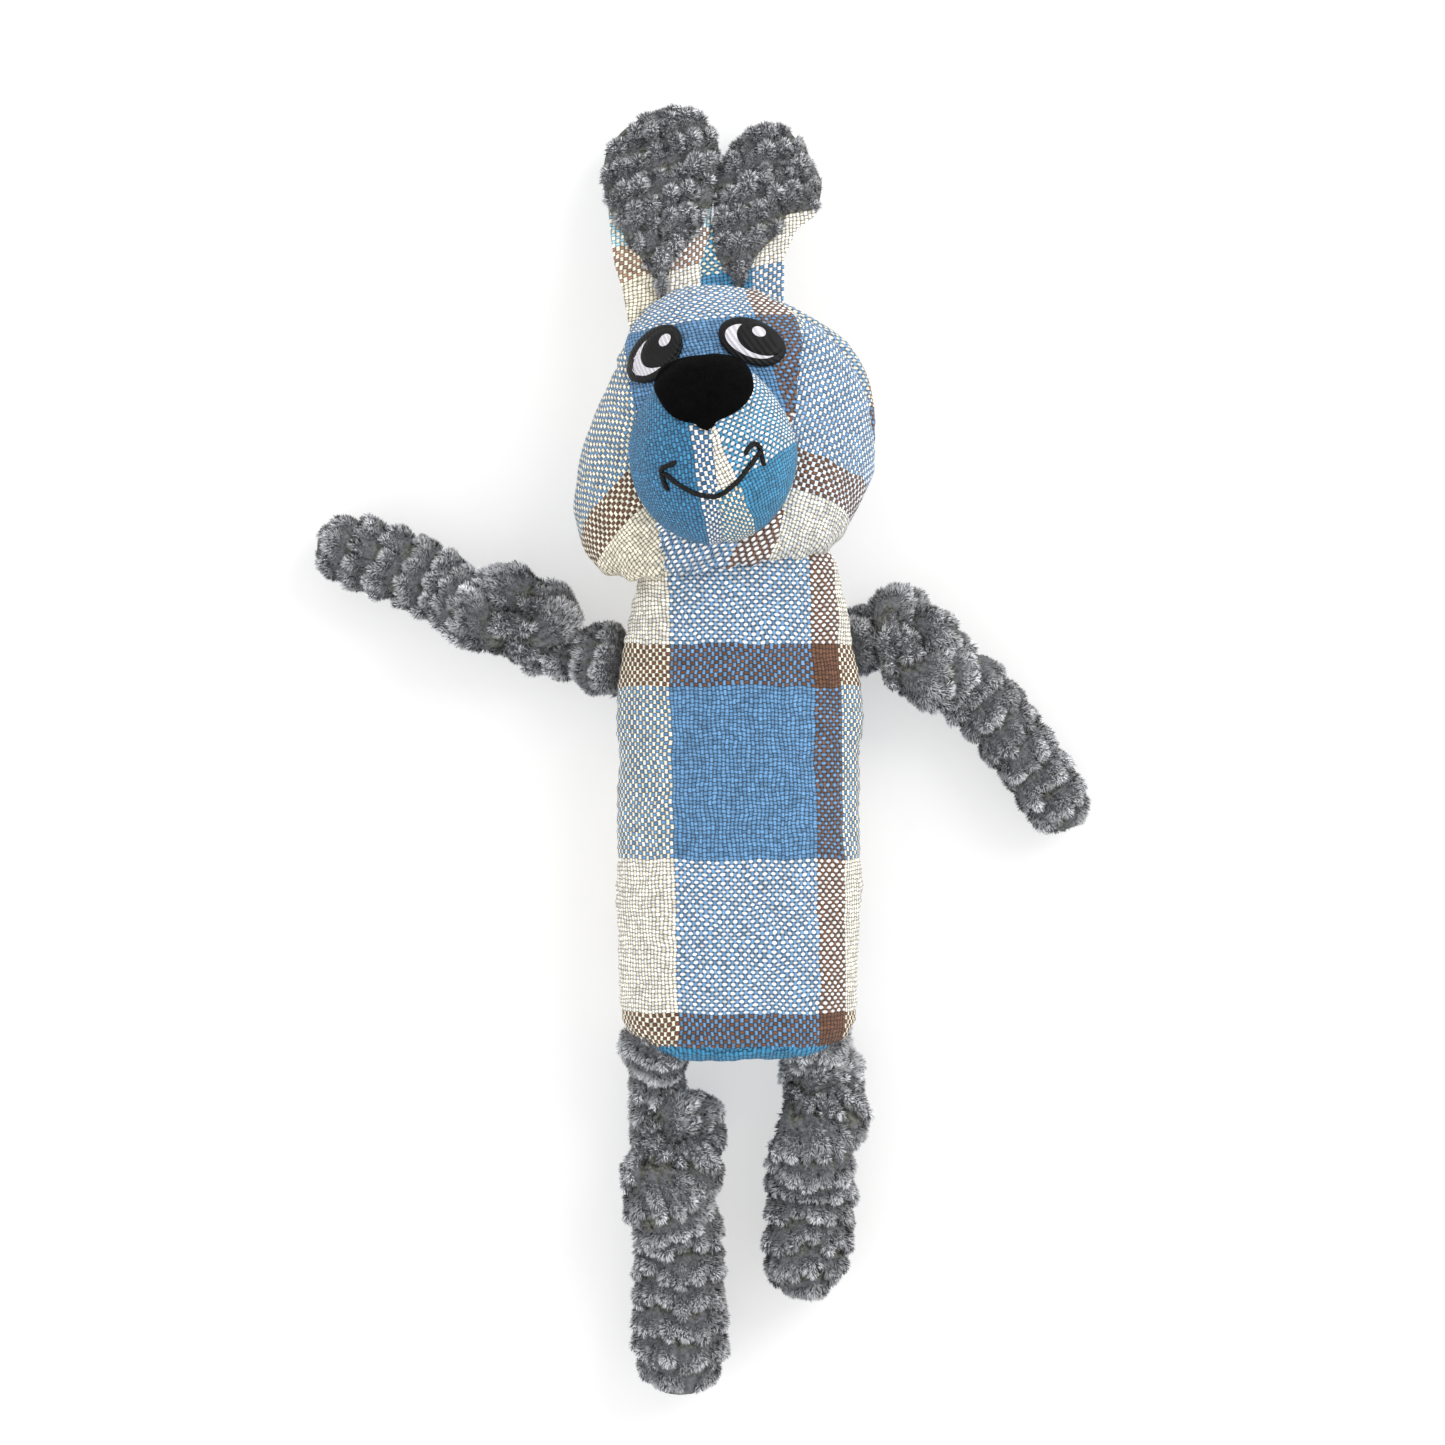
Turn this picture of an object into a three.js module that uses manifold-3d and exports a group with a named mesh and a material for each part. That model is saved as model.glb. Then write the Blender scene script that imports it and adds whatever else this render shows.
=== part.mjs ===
// A floppy plush bunny dog toy, lying on its back with its face up, in millimetres.
// +X is to the right as one looks down on the face, +Y runs from the feet to the ears, and +Z points up,
// out of the face. The origin is the middle of the torso's flat back, on the surface that the toy lies on.
//
// Every cover is cloth over loose fibre: plaid panels on the torso, head and muzzle, and grey corduroy
// plush on the ears and limbs. Each limb is a soft sleeve that is gathered into a seam and tied in an
// overhand knot, so it turns freely at its seam and bends at its knot.
import * as THREE from "three";
import { mergeVertices } from "three/addons/utils/BufferGeometryUtils.js";
import Module from "manifold-3d";

const wasm = await Module();
wasm.setup();

// ---------------------------------------------------------------- driving dimensions

const GAP = 0.4; // free space between pieces that lie against each other
const CLOTH = 1.6; // woven plaid with its backing
const PLUSH = 2.6; // corduroy plush, pile included
const THREAD = 0.9; // raised embroidery

const TORSO = { halfWidth: 39, halfDepth: 26, axisZ: 22, bottom: -77, top: 73.4, baseSeamY: -70 };
const NECK = { x: -4, y: 75, z: 24, ball: 8 };
const HEAD = { halfWidth: 48.3, halfDepth: 33, axisZ: 7, height: 89.5, lean: 6.5, backSeamZ: -8 };
const FACE_SEAM = { halfWidthAtChin: 16.5, slope: 0.15 }; // the face panel widens from chin to brow
const MUZZLE = { halfWidth: 25.6, halfHeight: 28.8, depth: 30, y: 35.7, z: 35 };
const EYE = { x: 14.6, y: 66.9, length: 21, width: 14, tilt: 37 };
const NOSE = { halfWidth: 13.6, y: 52.6, halfHeight: 10.5 };
const MOUTH = { radius: 17.5, y: 35.5, stroke: 1.5, halfAngle: 62, tick: 6 };
const EAR = { rootHalfWidth: 7, plush: 4, fold: 2.6, z: 8 };
const EARS = [
  { name: "left", x: -12, y: 92.8, lean: -4, drop: 27.6, length: 64, halfWidth: 17 },
  { name: "right", x: 18.5, y: 91, lean: -15, drop: 30.8, length: 58, halfWidth: 15.6 },
];
const SQUEAKER = { radius: 19, halfHeight: 10.5, wall: 1.2, reedRadius: 4, y: 6, z: 25 };

// the gathered root's radius, the space kept round it, and the space kept round a knot
const LIMB = { gather: 6.8, throat: 7.2, knotRoom: 2.8 };
const KNOT_TUBE = 0.42; // the knotted sleeve's radius as a share of the knot's own ring radius

// Where each limb is gathered into its seam, where its knot is, and where its rounded tip ends.
const LIMBS = [
  {
    name: "left_arm", root: [-40, 50, 16], knot: [-69, 61, 14.9], tip: [-134, 87, 11.5],
    sleeve: 11.2, knotRadius: 14.5,
  },
  {
    name: "right_arm", root: [38, 53, 16], knot: [57, 53, 14.4], tip: [104, -2, 11],
    sleeve: 10.6, knotRadius: 14,
  },
  {
    name: "left_leg", root: [-26, -74.5, 17], knot: [-21, -103, 15.4], tip: [-18.5, -184, 14.2],
    sleeve: 13.8, knotRadius: 15,
  },
  {
    name: "right_leg", root: [25.5, -74.5, 17], knot: [24, -93, 14.4], tip: [20, -154, 12.9],
    sleeve: 12.6, knotRadius: 14,
  },
];

// ---------------------------------------------------------------- from geometry to solid and back

const UP = new THREE.Vector3(0, 1, 0);
const LONG = 400; // longer than any piece, for tools that cut right through

/** A closed three.js geometry as a solid that can be cut and joined. */
function solid(geometry) {
  const g = geometry.clone();
  g.deleteAttribute("normal");
  g.deleteAttribute("uv");
  const merged = mergeVertices(g, 1e-3);
  return new wasm.Manifold(
    new wasm.Mesh({
      numProp: 3,
      vertProperties: merged.attributes.position.array,
      triVerts: new Uint32Array(merged.index.array),
    }),
  );
}

/** A solid as a three.js geometry. */
function geometryOf(shape) {
  const mesh = shape.getMesh();
  const g = new THREE.BufferGeometry();
  g.setAttribute("position", new THREE.BufferAttribute(mesh.vertProperties, 3));
  g.setIndex(new THREE.BufferAttribute(mesh.triVerts, 1));
  const flat = g.toNonIndexed();
  flat.computeVertexNormals();
  return flat;
}

function ball([x, y, z], radius, around = 14, along = 9) {
  return solid(new THREE.SphereGeometry(radius, around, along).translate(x, y, z));
}

/** An ellipsoid with its half sizes along X, Y and Z. */
function ellipsoid([x, y, z], [a, b, c]) {
  const g = new THREE.SphereGeometry(1, 20, 12).rotateX(Math.PI / 2);
  return solid(g.scale(a, b, c).translate(x, y, z));
}

/** A flat outline pushed along Z, from z = from to z = to. */
function prism(shape, from, to, curveSegments = 10) {
  const g = new THREE.ExtrudeGeometry(shape, { depth: to - from, bevelEnabled: false, curveSegments });
  return solid(g.translate(0, 0, from));
}

/** What is left of a shape beyond a plane: the side that the normal points to. */
const beyond = (shape, normal, distance) => shape.trimByPlane(normal, distance);

const material = (color, roughness) => new THREE.MeshStandardMaterial({ color, roughness, metalness: 0 });

const PLAID = material("#7fa3cc", 0.9);
const PLAID_BACK = material("#d9d3c0", 0.9);
const TEAL = material("#2f7fb5", 0.9);
const GREY_PLUSH = material("#77797d", 1);
const BLACK_PLUSH = material("#0b0b0c", 1);
const BLACK_THREAD = material("#131315", 0.6);
const WHITE_THREAD = material("#f3f2f4", 0.6);
const FIBRE = material("#f6f5f0", 1);
const PLASTIC = material("#e9e6dc", 0.5);

function piece(parent, name, shape, look) {
  const mesh = new THREE.Mesh(geometryOf(shape), look);
  mesh.name = name;
  parent.add(mesh);
  return mesh;
}

const bunny = new THREE.Group();

// ---------------------------------------------------------------- torso

/** The torso's outline turned about its long axis and flattened, grown outwards by grow. */
function torsoBody(grow) {
  const { halfWidth, halfDepth, axisZ, bottom, top } = TORSO;
  const r = halfWidth + grow;
  const outline = new THREE.Path();
  outline.moveTo(0, bottom - grow);
  outline.lineTo(12, bottom - grow);
  outline.bezierCurveTo(28, bottom - grow, r, bottom + 4 - grow, r, bottom + 24);
  outline.lineTo(r - 0.4, 40);
  outline.bezierCurveTo(r - 0.4, 56, 34 + grow, 66 + grow, 13, top + grow);
  outline.lineTo(0, top + grow);
  const g = new THREE.LatheGeometry(outline.getPoints(4), 24);
  g.scale(1, 1, (halfDepth + grow) / r).translate(0, 0, axisZ);
  return beyond(solid(g), [0, 0, 1], -grow); // the back is pressed flat where it lies
}

function buildTorso() {
  const { axisZ, baseSeamY } = TORSO;
  // each limb is gathered into a hollow in the side, and the neck into a hollow at the top
  const hollows = LIMBS.map((limb) => ball(limb.root, LIMB.throat));
  hollows.push(ball([NECK.x, NECK.y, NECK.z], NECK.ball + GAP));
  const open = (shape) => hollows.reduce((left, hollow) => left.subtract(hollow), shape);

  const cover = open(torsoBody(0).subtract(torsoBody(-CLOTH)));
  const upper = beyond(cover, [0, 1, 0], baseSeamY + GAP / 2);
  piece(bunny, "torso_front_panel", beyond(upper, [0, 0, 1], axisZ + GAP / 2), PLAID);
  piece(bunny, "torso_back_panel", beyond(upper, [0, 0, -1], GAP / 2 - axisZ), PLAID_BACK);
  piece(bunny, "torso_base_panel", beyond(cover, [0, -1, 0], GAP / 2 - baseSeamY), TEAL);

  // two wads of fibre close round the squeaker
  const pocket = squeakerOutline(SQUEAKER.radius + GAP, SQUEAKER.halfHeight + GAP);
  const wadding = open(torsoBody(-CLOTH - GAP)).subtract(pocket);
  piece(bunny, "torso_front_filling", beyond(wadding, [0, 0, 1], SQUEAKER.z + GAP / 2), FIBRE);
  piece(bunny, "torso_back_filling", beyond(wadding, [0, 0, -1], GAP / 2 - SQUEAKER.z), FIBRE);
}

/** The squeaker's outside: a pill that lies flat, its axis along Z. */
function squeakerOutline(radius, halfHeight) {
  const outline = new THREE.Path();
  outline.moveTo(0, -halfHeight);
  outline.lineTo(radius - halfHeight, -halfHeight);
  outline.absarc(radius - halfHeight, 0, halfHeight, -Math.PI / 2, Math.PI / 2);
  outline.lineTo(0, halfHeight);
  const g = new THREE.LatheGeometry(outline.getPoints(3), 14).rotateX(Math.PI / 2);
  return solid(g.translate(0, SQUEAKER.y, SQUEAKER.z));
}

function buildSqueaker() {
  const { radius, halfHeight, wall, reedRadius, y, z } = SQUEAKER;
  const upright = (r, height, at) =>
    solid(new THREE.CylinderGeometry(r, r, height, 16).rotateX(Math.PI / 2).translate(0, y, at));
  const mouth = z + halfHeight;
  const bulb = squeakerOutline(radius, halfHeight)
    .subtract(squeakerOutline(radius - wall, halfHeight - wall))
    .subtract(upright(reedRadius + GAP / 2, 8, mouth));
  const reed = upright(reedRadius, 6, mouth - 3).subtract(upright(1.2, 12, mouth - 3));
  piece(bunny, "squeaker_bulb", bulb, PLASTIC);
  piece(bunny, "squeaker_reed", reed, PLASTIC);
}

// ---------------------------------------------------------------- head, in a frame that starts at the neck

const head = new THREE.Group();
head.position.set(NECK.x, NECK.y, NECK.z);
head.rotation.z = THREE.MathUtils.degToRad(HEAD.lean);
bunny.add(head);

/** The pear-shaped head, wide at the cheeks, with its back pressed flat. */
function headBody(grow) {
  const { halfWidth, halfDepth, axisZ, height } = HEAD;
  const r = halfWidth + grow;
  const outline = new THREE.Path();
  outline.moveTo(0, 2.4 - grow);
  outline.lineTo(13, 2.4 - grow);
  outline.bezierCurveTo(38 + grow, 3 - grow, r, 14, r, 31);
  outline.bezierCurveTo(r, 46, 43 + grow, 58, 37 + grow, 67.5);
  outline.bezierCurveTo(31 + grow, 79 + grow, 20, height + grow, 0, height + grow);
  const g = new THREE.LatheGeometry(outline.getPoints(4), 24);
  g.scale(1, 1, (halfDepth + grow) / r).translate(0, 0, axisZ);
  return beyond(solid(g), [0, 0, 1], -NECK.z - grow);
}

function muzzleBody(grow) {
  const { halfWidth, halfHeight, depth, y, z } = MUZZLE;
  return ellipsoid([0, y, z], [halfWidth + grow, halfHeight + grow, depth + grow]);
}

function buildHead() {
  const neckHollow = ball([0, 0, 0], NECK.ball + GAP);
  const cover = headBody(0).subtract(headBody(-CLOTH)).subtract(neckHollow);
  const front = beyond(cover, [0, 0, 1], HEAD.backSeamZ + GAP / 2);

  // the two seams beside the face lean outwards from the chin to the ears
  const { halfWidthAtChin, slope } = FACE_SEAM;
  const length = Math.hypot(1, slope);
  const sideOf = (sign) => [sign / length, -slope / length, 0];
  const seamAt = halfWidthAtChin / length;
  const cheek = (sign) => beyond(front, sideOf(sign), seamAt + GAP / 2);
  const inward = (sign) => sideOf(sign).map((n) => -n);
  const face = beyond(beyond(front, inward(1), GAP / 2 - seamAt), inward(-1), GAP / 2 - seamAt);

  piece(head, "head_face_panel", face, PLAID);
  piece(head, "head_left_cheek_panel", cheek(-1), PLAID);
  piece(head, "head_right_cheek_panel", cheek(1), PLAID);
  piece(head, "head_back_panel", beyond(cover, [0, 0, -1], GAP / 2 - HEAD.backSeamZ), PLAID_BACK);
  piece(head, "head_filling", headBody(-CLOTH - GAP).subtract(neckHollow), FIBRE);
  piece(bunny, "neck_gather", ball([NECK.x, NECK.y, NECK.z], NECK.ball), PLAID);
}

function buildMuzzle() {
  const face = headBody(GAP);
  const cover = muzzleBody(0).subtract(muzzleBody(-CLOTH)).subtract(face);
  piece(head, "muzzle_left_panel", beyond(cover, [-1, 0, 0], GAP / 2), TEAL);
  piece(head, "muzzle_right_panel", beyond(cover, [1, 0, 0], GAP / 2), TEAL);
  piece(head, "muzzle_filling", muzzleBody(-CLOTH - GAP).subtract(face), FIBRE);
  piece(head, "nose_patch", onMuzzle(noseOutline(), 1.4), BLACK_PLUSH);
  piece(head, "mouth_stitching", onMuzzle(mouthOutline(), THREAD), BLACK_THREAD);
}

/** A patch that lies on the muzzle's cloth, with an outline seen from straight ahead. */
function onMuzzle(outline, thickness) {
  const skin = muzzleBody(GAP + thickness).subtract(muzzleBody(GAP));
  return skin.intersect(outline);
}

/** A rounded triangle with its widest part above the middle and a short point at the bottom. */
function noseOutline() {
  const { halfWidth: w, halfHeight: h, y } = NOSE;
  const shape = new THREE.Shape();
  shape.moveTo(0, y - h - 1.5);
  shape.bezierCurveTo(4, y - h + 1.5, w, y - 4, w, y + 1);
  shape.bezierCurveTo(w, y + 0.8 * h, 5, y + h, 0, y + h);
  shape.bezierCurveTo(-5, y + h, -w, y + 0.8 * h, -w, y + 1);
  shape.bezierCurveTo(-w, y - 4, -4, y - h + 1.5, 0, y - h - 1.5);
  return prism(shape, MUZZLE.z + 4, LONG, 6);
}

/** A smile: an arc of thread with a short tick across each end. */
function mouthOutline() {
  const { radius, y, stroke, halfAngle, tick } = MOUTH;
  const half = THREE.MathUtils.degToRad(halfAngle);
  const low = -Math.PI / 2;
  const arc = new THREE.Shape();
  arc.absarc(0, y, radius + stroke / 2, low - half, low + half, false);
  arc.absarc(0, y, radius - stroke / 2, low + half, low - half, true);
  const smile = prism(arc, MUZZLE.z + 4, LONG, 14);
  return [-1, 1].reduce((whole, side) => {
    const bar = new THREE.BoxGeometry(tick, stroke, LONG);
    const depth = MUZZLE.z + 4 + LONG / 2;
    bar.rotateZ(side * 0.35).translate(side * radius * Math.sin(half), y - radius * Math.cos(half), depth);
    return whole.add(solid(bar));
  }, smile);
}

/** Both eyes look the same way: the white crescent and the glint are not mirrored. */
function buildEyes() {
  const muzzle = muzzleBody(GAP);
  const layer = (outline, from, thickness) =>
    headBody(from + thickness).subtract(headBody(from)).intersect(outline).subtract(muzzle);
  for (const [name, side] of [["left", -1], ["right", 1]]) {
    const turn = THREE.MathUtils.degToRad(-side * EYE.tilt);
    const oval = (x, y, length, width) => {
      const shape = new THREE.Shape();
      shape.absellipse(side * EYE.x + x, EYE.y + y, length / 2, width / 2, 0, 2 * Math.PI, false, turn);
      return prism(shape, 0, LONG, 20);
    };
    const patch = oval(0, 0, EYE.length, EYE.width);
    const pupil = oval(1.2, 1.5, EYE.length - 5, EYE.width - 4.4);
    const white = oval(-0.9, -0.6, EYE.length - 3.4, EYE.width - 3.4).subtract(pupil);
    const glint = oval(2.6, 2.8, 4.2, 3);
    piece(head, name + "_eye_patch", layer(patch, GAP, THREAD), BLACK_PLUSH);
    piece(head, name + "_eye_white", largest(layer(white, 2 * GAP + THREAD, THREAD)), WHITE_THREAD);
    piece(head, name + "_eye_glint", layer(glint, 2 * GAP + THREAD, THREAD), WHITE_THREAD);
  }
}

/** The largest body of a shape that a cut may have left in pieces. */
const largest = (shape) => shape.decompose().reduce((a, b) => (b.volume() > a.volume() ? b : a));

/** A paddle outline that starts narrow at the ear's root. */
function earOutline(halfWidth, length, rootHalfWidth) {
  const shape = new THREE.Shape();
  const start = EAR.fold + GAP;
  shape.moveTo(-rootHalfWidth, start);
  shape.lineTo(rootHalfWidth, start);
  shape.bezierCurveTo(rootHalfWidth + 3, 0.25 * length, halfWidth, 0.4 * length, halfWidth, 0.66 * length);
  shape.bezierCurveTo(halfWidth, 0.9 * length, 0.6 * halfWidth, length, 0, length);
  shape.bezierCurveTo(-0.6 * halfWidth, length, -halfWidth, 0.9 * length, -halfWidth, 0.66 * length);
  shape.bezierCurveTo(-halfWidth, 0.4 * length, -rootHalfWidth - 3, 0.25 * length, -rootHalfWidth, start);
  return shape;
}

/** Each ear is a grey plush front sewn to a plaid back, and hangs from a fold sewn to the head. */
function buildEars() {
  for (const { name, x, y, lean, drop, length, halfWidth } of EARS) {
    const ear = new THREE.Group();
    ear.position.set(x, y, EAR.z);
    ear.rotation.order = "ZXY";
    ear.rotation.z = THREE.MathUtils.degToRad(lean);
    ear.rotation.x = THREE.MathUtils.degToRad(-drop);
    head.add(ear);
    const fold = new THREE.CapsuleGeometry(EAR.fold, 2 * EAR.rootHalfWidth, 3, 10).rotateZ(Math.PI / 2);
    const front = earOutline(halfWidth, length, EAR.rootHalfWidth);
    const back = earOutline(halfWidth + 0.8, length + 0.8, EAR.rootHalfWidth + 1);
    piece(ear, name + "_ear_fold", solid(fold), PLAID_BACK);
    piece(ear, name + "_ear_plush_front", prism(front, GAP / 2, EAR.plush, 6), GREY_PLUSH);
    piece(ear, name + "_ear_plaid_back", prism(back, -CLOTH, -GAP / 2, 6), PLAID_BACK);
  }
}

// ---------------------------------------------------------------- limbs

/** A frame at one point with its +Y axis towards another. */
function frameTowards(from, to) {
  const group = new THREE.Group();
  const way = new THREE.Vector3(...to).sub(new THREE.Vector3(...from));
  group.position.set(...from);
  group.quaternion.setFromUnitVectors(UP, way.clone().normalize());
  bunny.add(group);
  return { group, length: way.length() };
}

/** A round bar about +Y with a narrow root: it widens as it leaves the seam. */
function flaredBar(radius, length) {
  const outline = new THREE.Path();
  outline.moveTo(0, 4);
  outline.lineTo(radius * 0.35, 6.4);
  outline.bezierCurveTo(radius * 0.75, 10, radius, 12, radius, 15);
  outline.lineTo(radius, length);
  outline.lineTo(0, length);
  return solid(new THREE.LatheGeometry(outline.getPoints(4), 14));
}

/** A round bar about +Y that starts flat and ends in a soft dome. */
function domedBar(radius, length) {
  const outline = new THREE.Path();
  outline.moveTo(0, 0);
  outline.lineTo(radius, 0);
  outline.lineTo(radius, length - radius * 0.9);
  outline.bezierCurveTo(radius, length - radius * 0.3, radius * 0.6, length, 0, length);
  return solid(new THREE.LatheGeometry(outline.getPoints(5), 14));
}

/** The overhand knot: one strand that runs over and under itself, pressed into a low bun. */
function buildKnot(limb) {
  const ring = limb.knotRadius / (1.5 + KNOT_TUBE);
  const g = new THREE.TorusKnotGeometry(ring, ring * KNOT_TUBE, 40, 7, 2, 3);
  const halfDepth = ring * (0.5 + KNOT_TUBE);
  g.scale(1, 1, (limb.knot[2] - 0.4) / halfDepth);
  g.translate(...limb.knot);
  piece(bunny, limb.name + "_knot", solid(g).subtract(ball(limb.root, LIMB.throat)), GREY_PLUSH);
}

function buildLimb(limb) {
  const { name, root, knot, tip, sleeve, knotRadius } = limb;
  piece(bunny, name + "_seam_gather", ball(root, LIMB.gather, 12, 8), GREY_PLUSH);
  buildKnot(limb);

  const upper = frameTowards(root, knot);
  const knotSpace = (at) => ball([0, at, 0], knotRadius + LIMB.knotRoom);
  if (upper.length > knotRadius + LIMB.throat + 5) {
    const trim = (shape) => shape.subtract(knotSpace(upper.length)).subtract(ball([0, 0, 0], LIMB.throat));
    const bore = solid(new THREE.CylinderGeometry(1.6, sleeve - PLUSH, 2 * upper.length, 12));
    const radius = Math.min(sleeve, knotRadius - 2);
    const cover = trim(flaredBar(radius, upper.length)).subtract(bore);
    piece(upper.group, name + "_upper_sleeve", cover, GREY_PLUSH);
  }

  const lower = frameTowards(knot, tip);
  const cut = knotSpace(0);
  const cover = domedBar(sleeve, lower.length).subtract(cut);
  const core = domedBar(sleeve - PLUSH, lower.length - PLUSH);
  const filling = domedBar(sleeve - PLUSH - GAP, lower.length - PLUSH - GAP);
  piece(lower.group, name + "_lower_sleeve", cover.subtract(core), GREY_PLUSH);
  piece(lower.group, name + "_lower_filling", filling.subtract(cut), FIBRE);
}

// ---------------------------------------------------------------- the whole toy

buildTorso();
buildSqueaker();
buildHead();
buildMuzzle();
buildEyes();
buildEars();
LIMBS.forEach(buildLimb);

export default bunny;
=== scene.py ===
# %% [markdown]
# # A stuffed plaid bunny with knotted limbs
# The toy lies on its back. Its body, head and muzzle are covers of woven plaid over loose fibre, and
# its ears and limbs are chunky corduroy plush. Each cover is made here on top of a plain CAD solid
# that already has the right size, place and joints, so the work is all in the cloth: how it swells,
# where it is seamed, how it is woven, and how its pile stands.

# %% Load the frame
import math

import bpy
import numpy as np
from mathutils import Matrix, Vector
from mathutils.bvhtree import BVHTree
from mathutils.kdtree import KDTree


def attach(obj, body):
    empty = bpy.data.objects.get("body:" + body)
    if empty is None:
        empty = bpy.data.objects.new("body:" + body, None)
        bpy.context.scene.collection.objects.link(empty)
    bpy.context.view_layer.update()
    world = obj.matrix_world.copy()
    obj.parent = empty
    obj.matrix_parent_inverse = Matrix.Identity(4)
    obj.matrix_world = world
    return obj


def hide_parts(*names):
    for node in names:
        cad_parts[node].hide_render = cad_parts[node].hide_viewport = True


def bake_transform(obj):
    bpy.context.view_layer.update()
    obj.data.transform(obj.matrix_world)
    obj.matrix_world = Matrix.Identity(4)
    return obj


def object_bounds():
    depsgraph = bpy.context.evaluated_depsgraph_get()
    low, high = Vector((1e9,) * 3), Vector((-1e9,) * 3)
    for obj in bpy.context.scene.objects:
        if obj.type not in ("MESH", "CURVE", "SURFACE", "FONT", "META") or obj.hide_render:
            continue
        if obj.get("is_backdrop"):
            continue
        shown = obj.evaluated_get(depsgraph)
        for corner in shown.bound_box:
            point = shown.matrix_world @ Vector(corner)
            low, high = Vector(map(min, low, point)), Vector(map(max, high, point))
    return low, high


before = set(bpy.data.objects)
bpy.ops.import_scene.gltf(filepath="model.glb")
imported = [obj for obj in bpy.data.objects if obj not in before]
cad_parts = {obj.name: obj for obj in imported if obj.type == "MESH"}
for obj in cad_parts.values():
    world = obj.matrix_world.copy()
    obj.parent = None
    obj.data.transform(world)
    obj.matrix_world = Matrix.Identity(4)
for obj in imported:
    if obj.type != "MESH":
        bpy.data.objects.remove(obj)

MM = 0.001
cad_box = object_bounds()
scene = bpy.context.scene
print("CAD nodes:", len(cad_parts), "box:", [round(x, 4) for corner in cad_box for x in corner])

# %% [markdown]
# ## Light, floor and camera
# The toy is looked at from straight above, so the camera hangs one metre over it. A wide soft lamp
# from the upper right gives each form a darker left side. A bright even world and a floor that glows
# keep the shadows faint. The standard view transform shows cloth colours as they are set.

# %% Camera, floor and lamps
camera_data = bpy.data.cameras.new("overhead_camera")
camera_data.lens = 77.95
camera_data.sensor_width = 36
camera = bpy.data.objects.new("overhead_camera", camera_data)
camera.location = (-0.0051, 0.0288, 1.0)
scene.collection.objects.link(camera)
scene.camera = camera
scene.view_settings.view_transform = "Standard"


def deselect():
    """Nothing is selected before a primitive is added: the loaded CAD nodes are selected at first."""
    if bpy.context.object and bpy.context.object.mode != "OBJECT":
        bpy.ops.object.mode_set(mode="OBJECT")
    bpy.ops.object.select_all(action="DESELECT")


def activate(form):
    """One object alone is selected and active, as most tools want it."""
    deselect()
    form.select_set(True)
    bpy.context.view_layer.objects.active = form


def edit_all():
    bpy.ops.object.mode_set(mode="EDIT")
    bpy.ops.mesh.select_all(action="SELECT")


def soft_lamp(name, place, target, size, watts, tint):
    deselect()
    bpy.ops.object.light_add(type="AREA", location=place)
    lamp = bpy.context.object
    lamp.name = name
    lamp.data.shape = "DISK"
    lamp.data.size = size
    lamp.data.energy = watts
    lamp.data.color = tint
    lamp.rotation_euler = (Vector(place) - Vector(target)).to_track_quat("Z", "Y").to_euler()
    return lamp


soft_lamp("key_lamp", (0.85, 0.75, 0.95), (0, 0.03, 0.03), 0.9, 10, (1, 0.985, 0.96))
soft_lamp("fill_lamp", (-0.9, -0.5, 0.9), (0, 0.03, 0.03), 0.9, 2.5, (0.94, 0.97, 1))

world = bpy.data.worlds.new("bright_studio")
world.use_nodes = True
world.node_tree.nodes["Background"].inputs["Color"].default_value = (1, 1, 1, 1)
world.node_tree.nodes["Background"].inputs["Strength"].default_value = 1.0
scene.world = world

deselect()
bpy.ops.mesh.primitive_plane_add(size=6, location=(0, 0, -0.0006))
floor = bpy.context.object
floor.name = "studio_floor"
bpy.ops.object.transform_apply(location=True, rotation=True, scale=True)
floor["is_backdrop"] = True

# %% [markdown]
# ## Two helpers for materials
# Colours are written as the hex numbers that a painter would pick, and one function turns them into
# the linear values that the renderer adds up. One function adds a node with its settings and links,
# so that each material below reads as a list of what it is made of.

# %% Hex colours and nodes


def linear(code):
    """An sRGB hex colour, such as C8B89A, as linear red, green, blue and alpha."""
    parts = [int(code[i:i + 2], 16) / 255 for i in (0, 2, 4)]
    return tuple(c / 12.92 if c <= 0.04045 else ((c + 0.055) / 1.055) ** 2.4 for c in parts) + (1.0,)


def add_node(material, kind, sockets=None, **settings):
    """One node in a material. Settings are its own; sockets are values, or nodes and outputs to link."""
    tree = material.node_tree
    made = tree.nodes.new("ShaderNode" + kind)
    for key, value in settings.items():
        setattr(made, key, value)
    for key, value in (sockets or {}).items():
        if isinstance(value, bpy.types.Node):
            value = next(output for output in value.outputs if output.enabled)
        if isinstance(value, bpy.types.NodeSocket):
            tree.links.new(value, made.inputs[key])
        else:
            made.inputs[key].default_value = value
    return made


def new_material(name):
    material = bpy.data.materials.new(name)
    material.use_nodes = True
    material.node_tree.nodes.clear()
    return material


def finish_material(material, sockets):
    """A principled shader with these sockets becomes the material's surface."""
    add_node(material, "OutputMaterial", {"Surface": add_node(material, "BsdfPrincipled", sockets)})
    return material


# opal acrylic, lit from below as on a light table: shadows on it stay faint
opal_acrylic = new_material("opal_acrylic_cast_light_table")
place = add_node(opal_acrylic, "TexCoord")
haze = add_node(opal_acrylic, "TexNoise", {"Vector": place.outputs["Object"], "Scale": 60.0})
milk = add_node(opal_acrylic, "Mix", {0: haze, 6: linear("B4B4B4"), 7: linear("B7B7B7")}, data_type="RGBA")
finish_material(opal_acrylic, {"Base Color": milk, "Roughness": 0.95, "Emission Color": (1, 1, 1, 1),
                               "Emission Strength": 0.5})
floor.data.materials.append(opal_acrylic)

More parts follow.
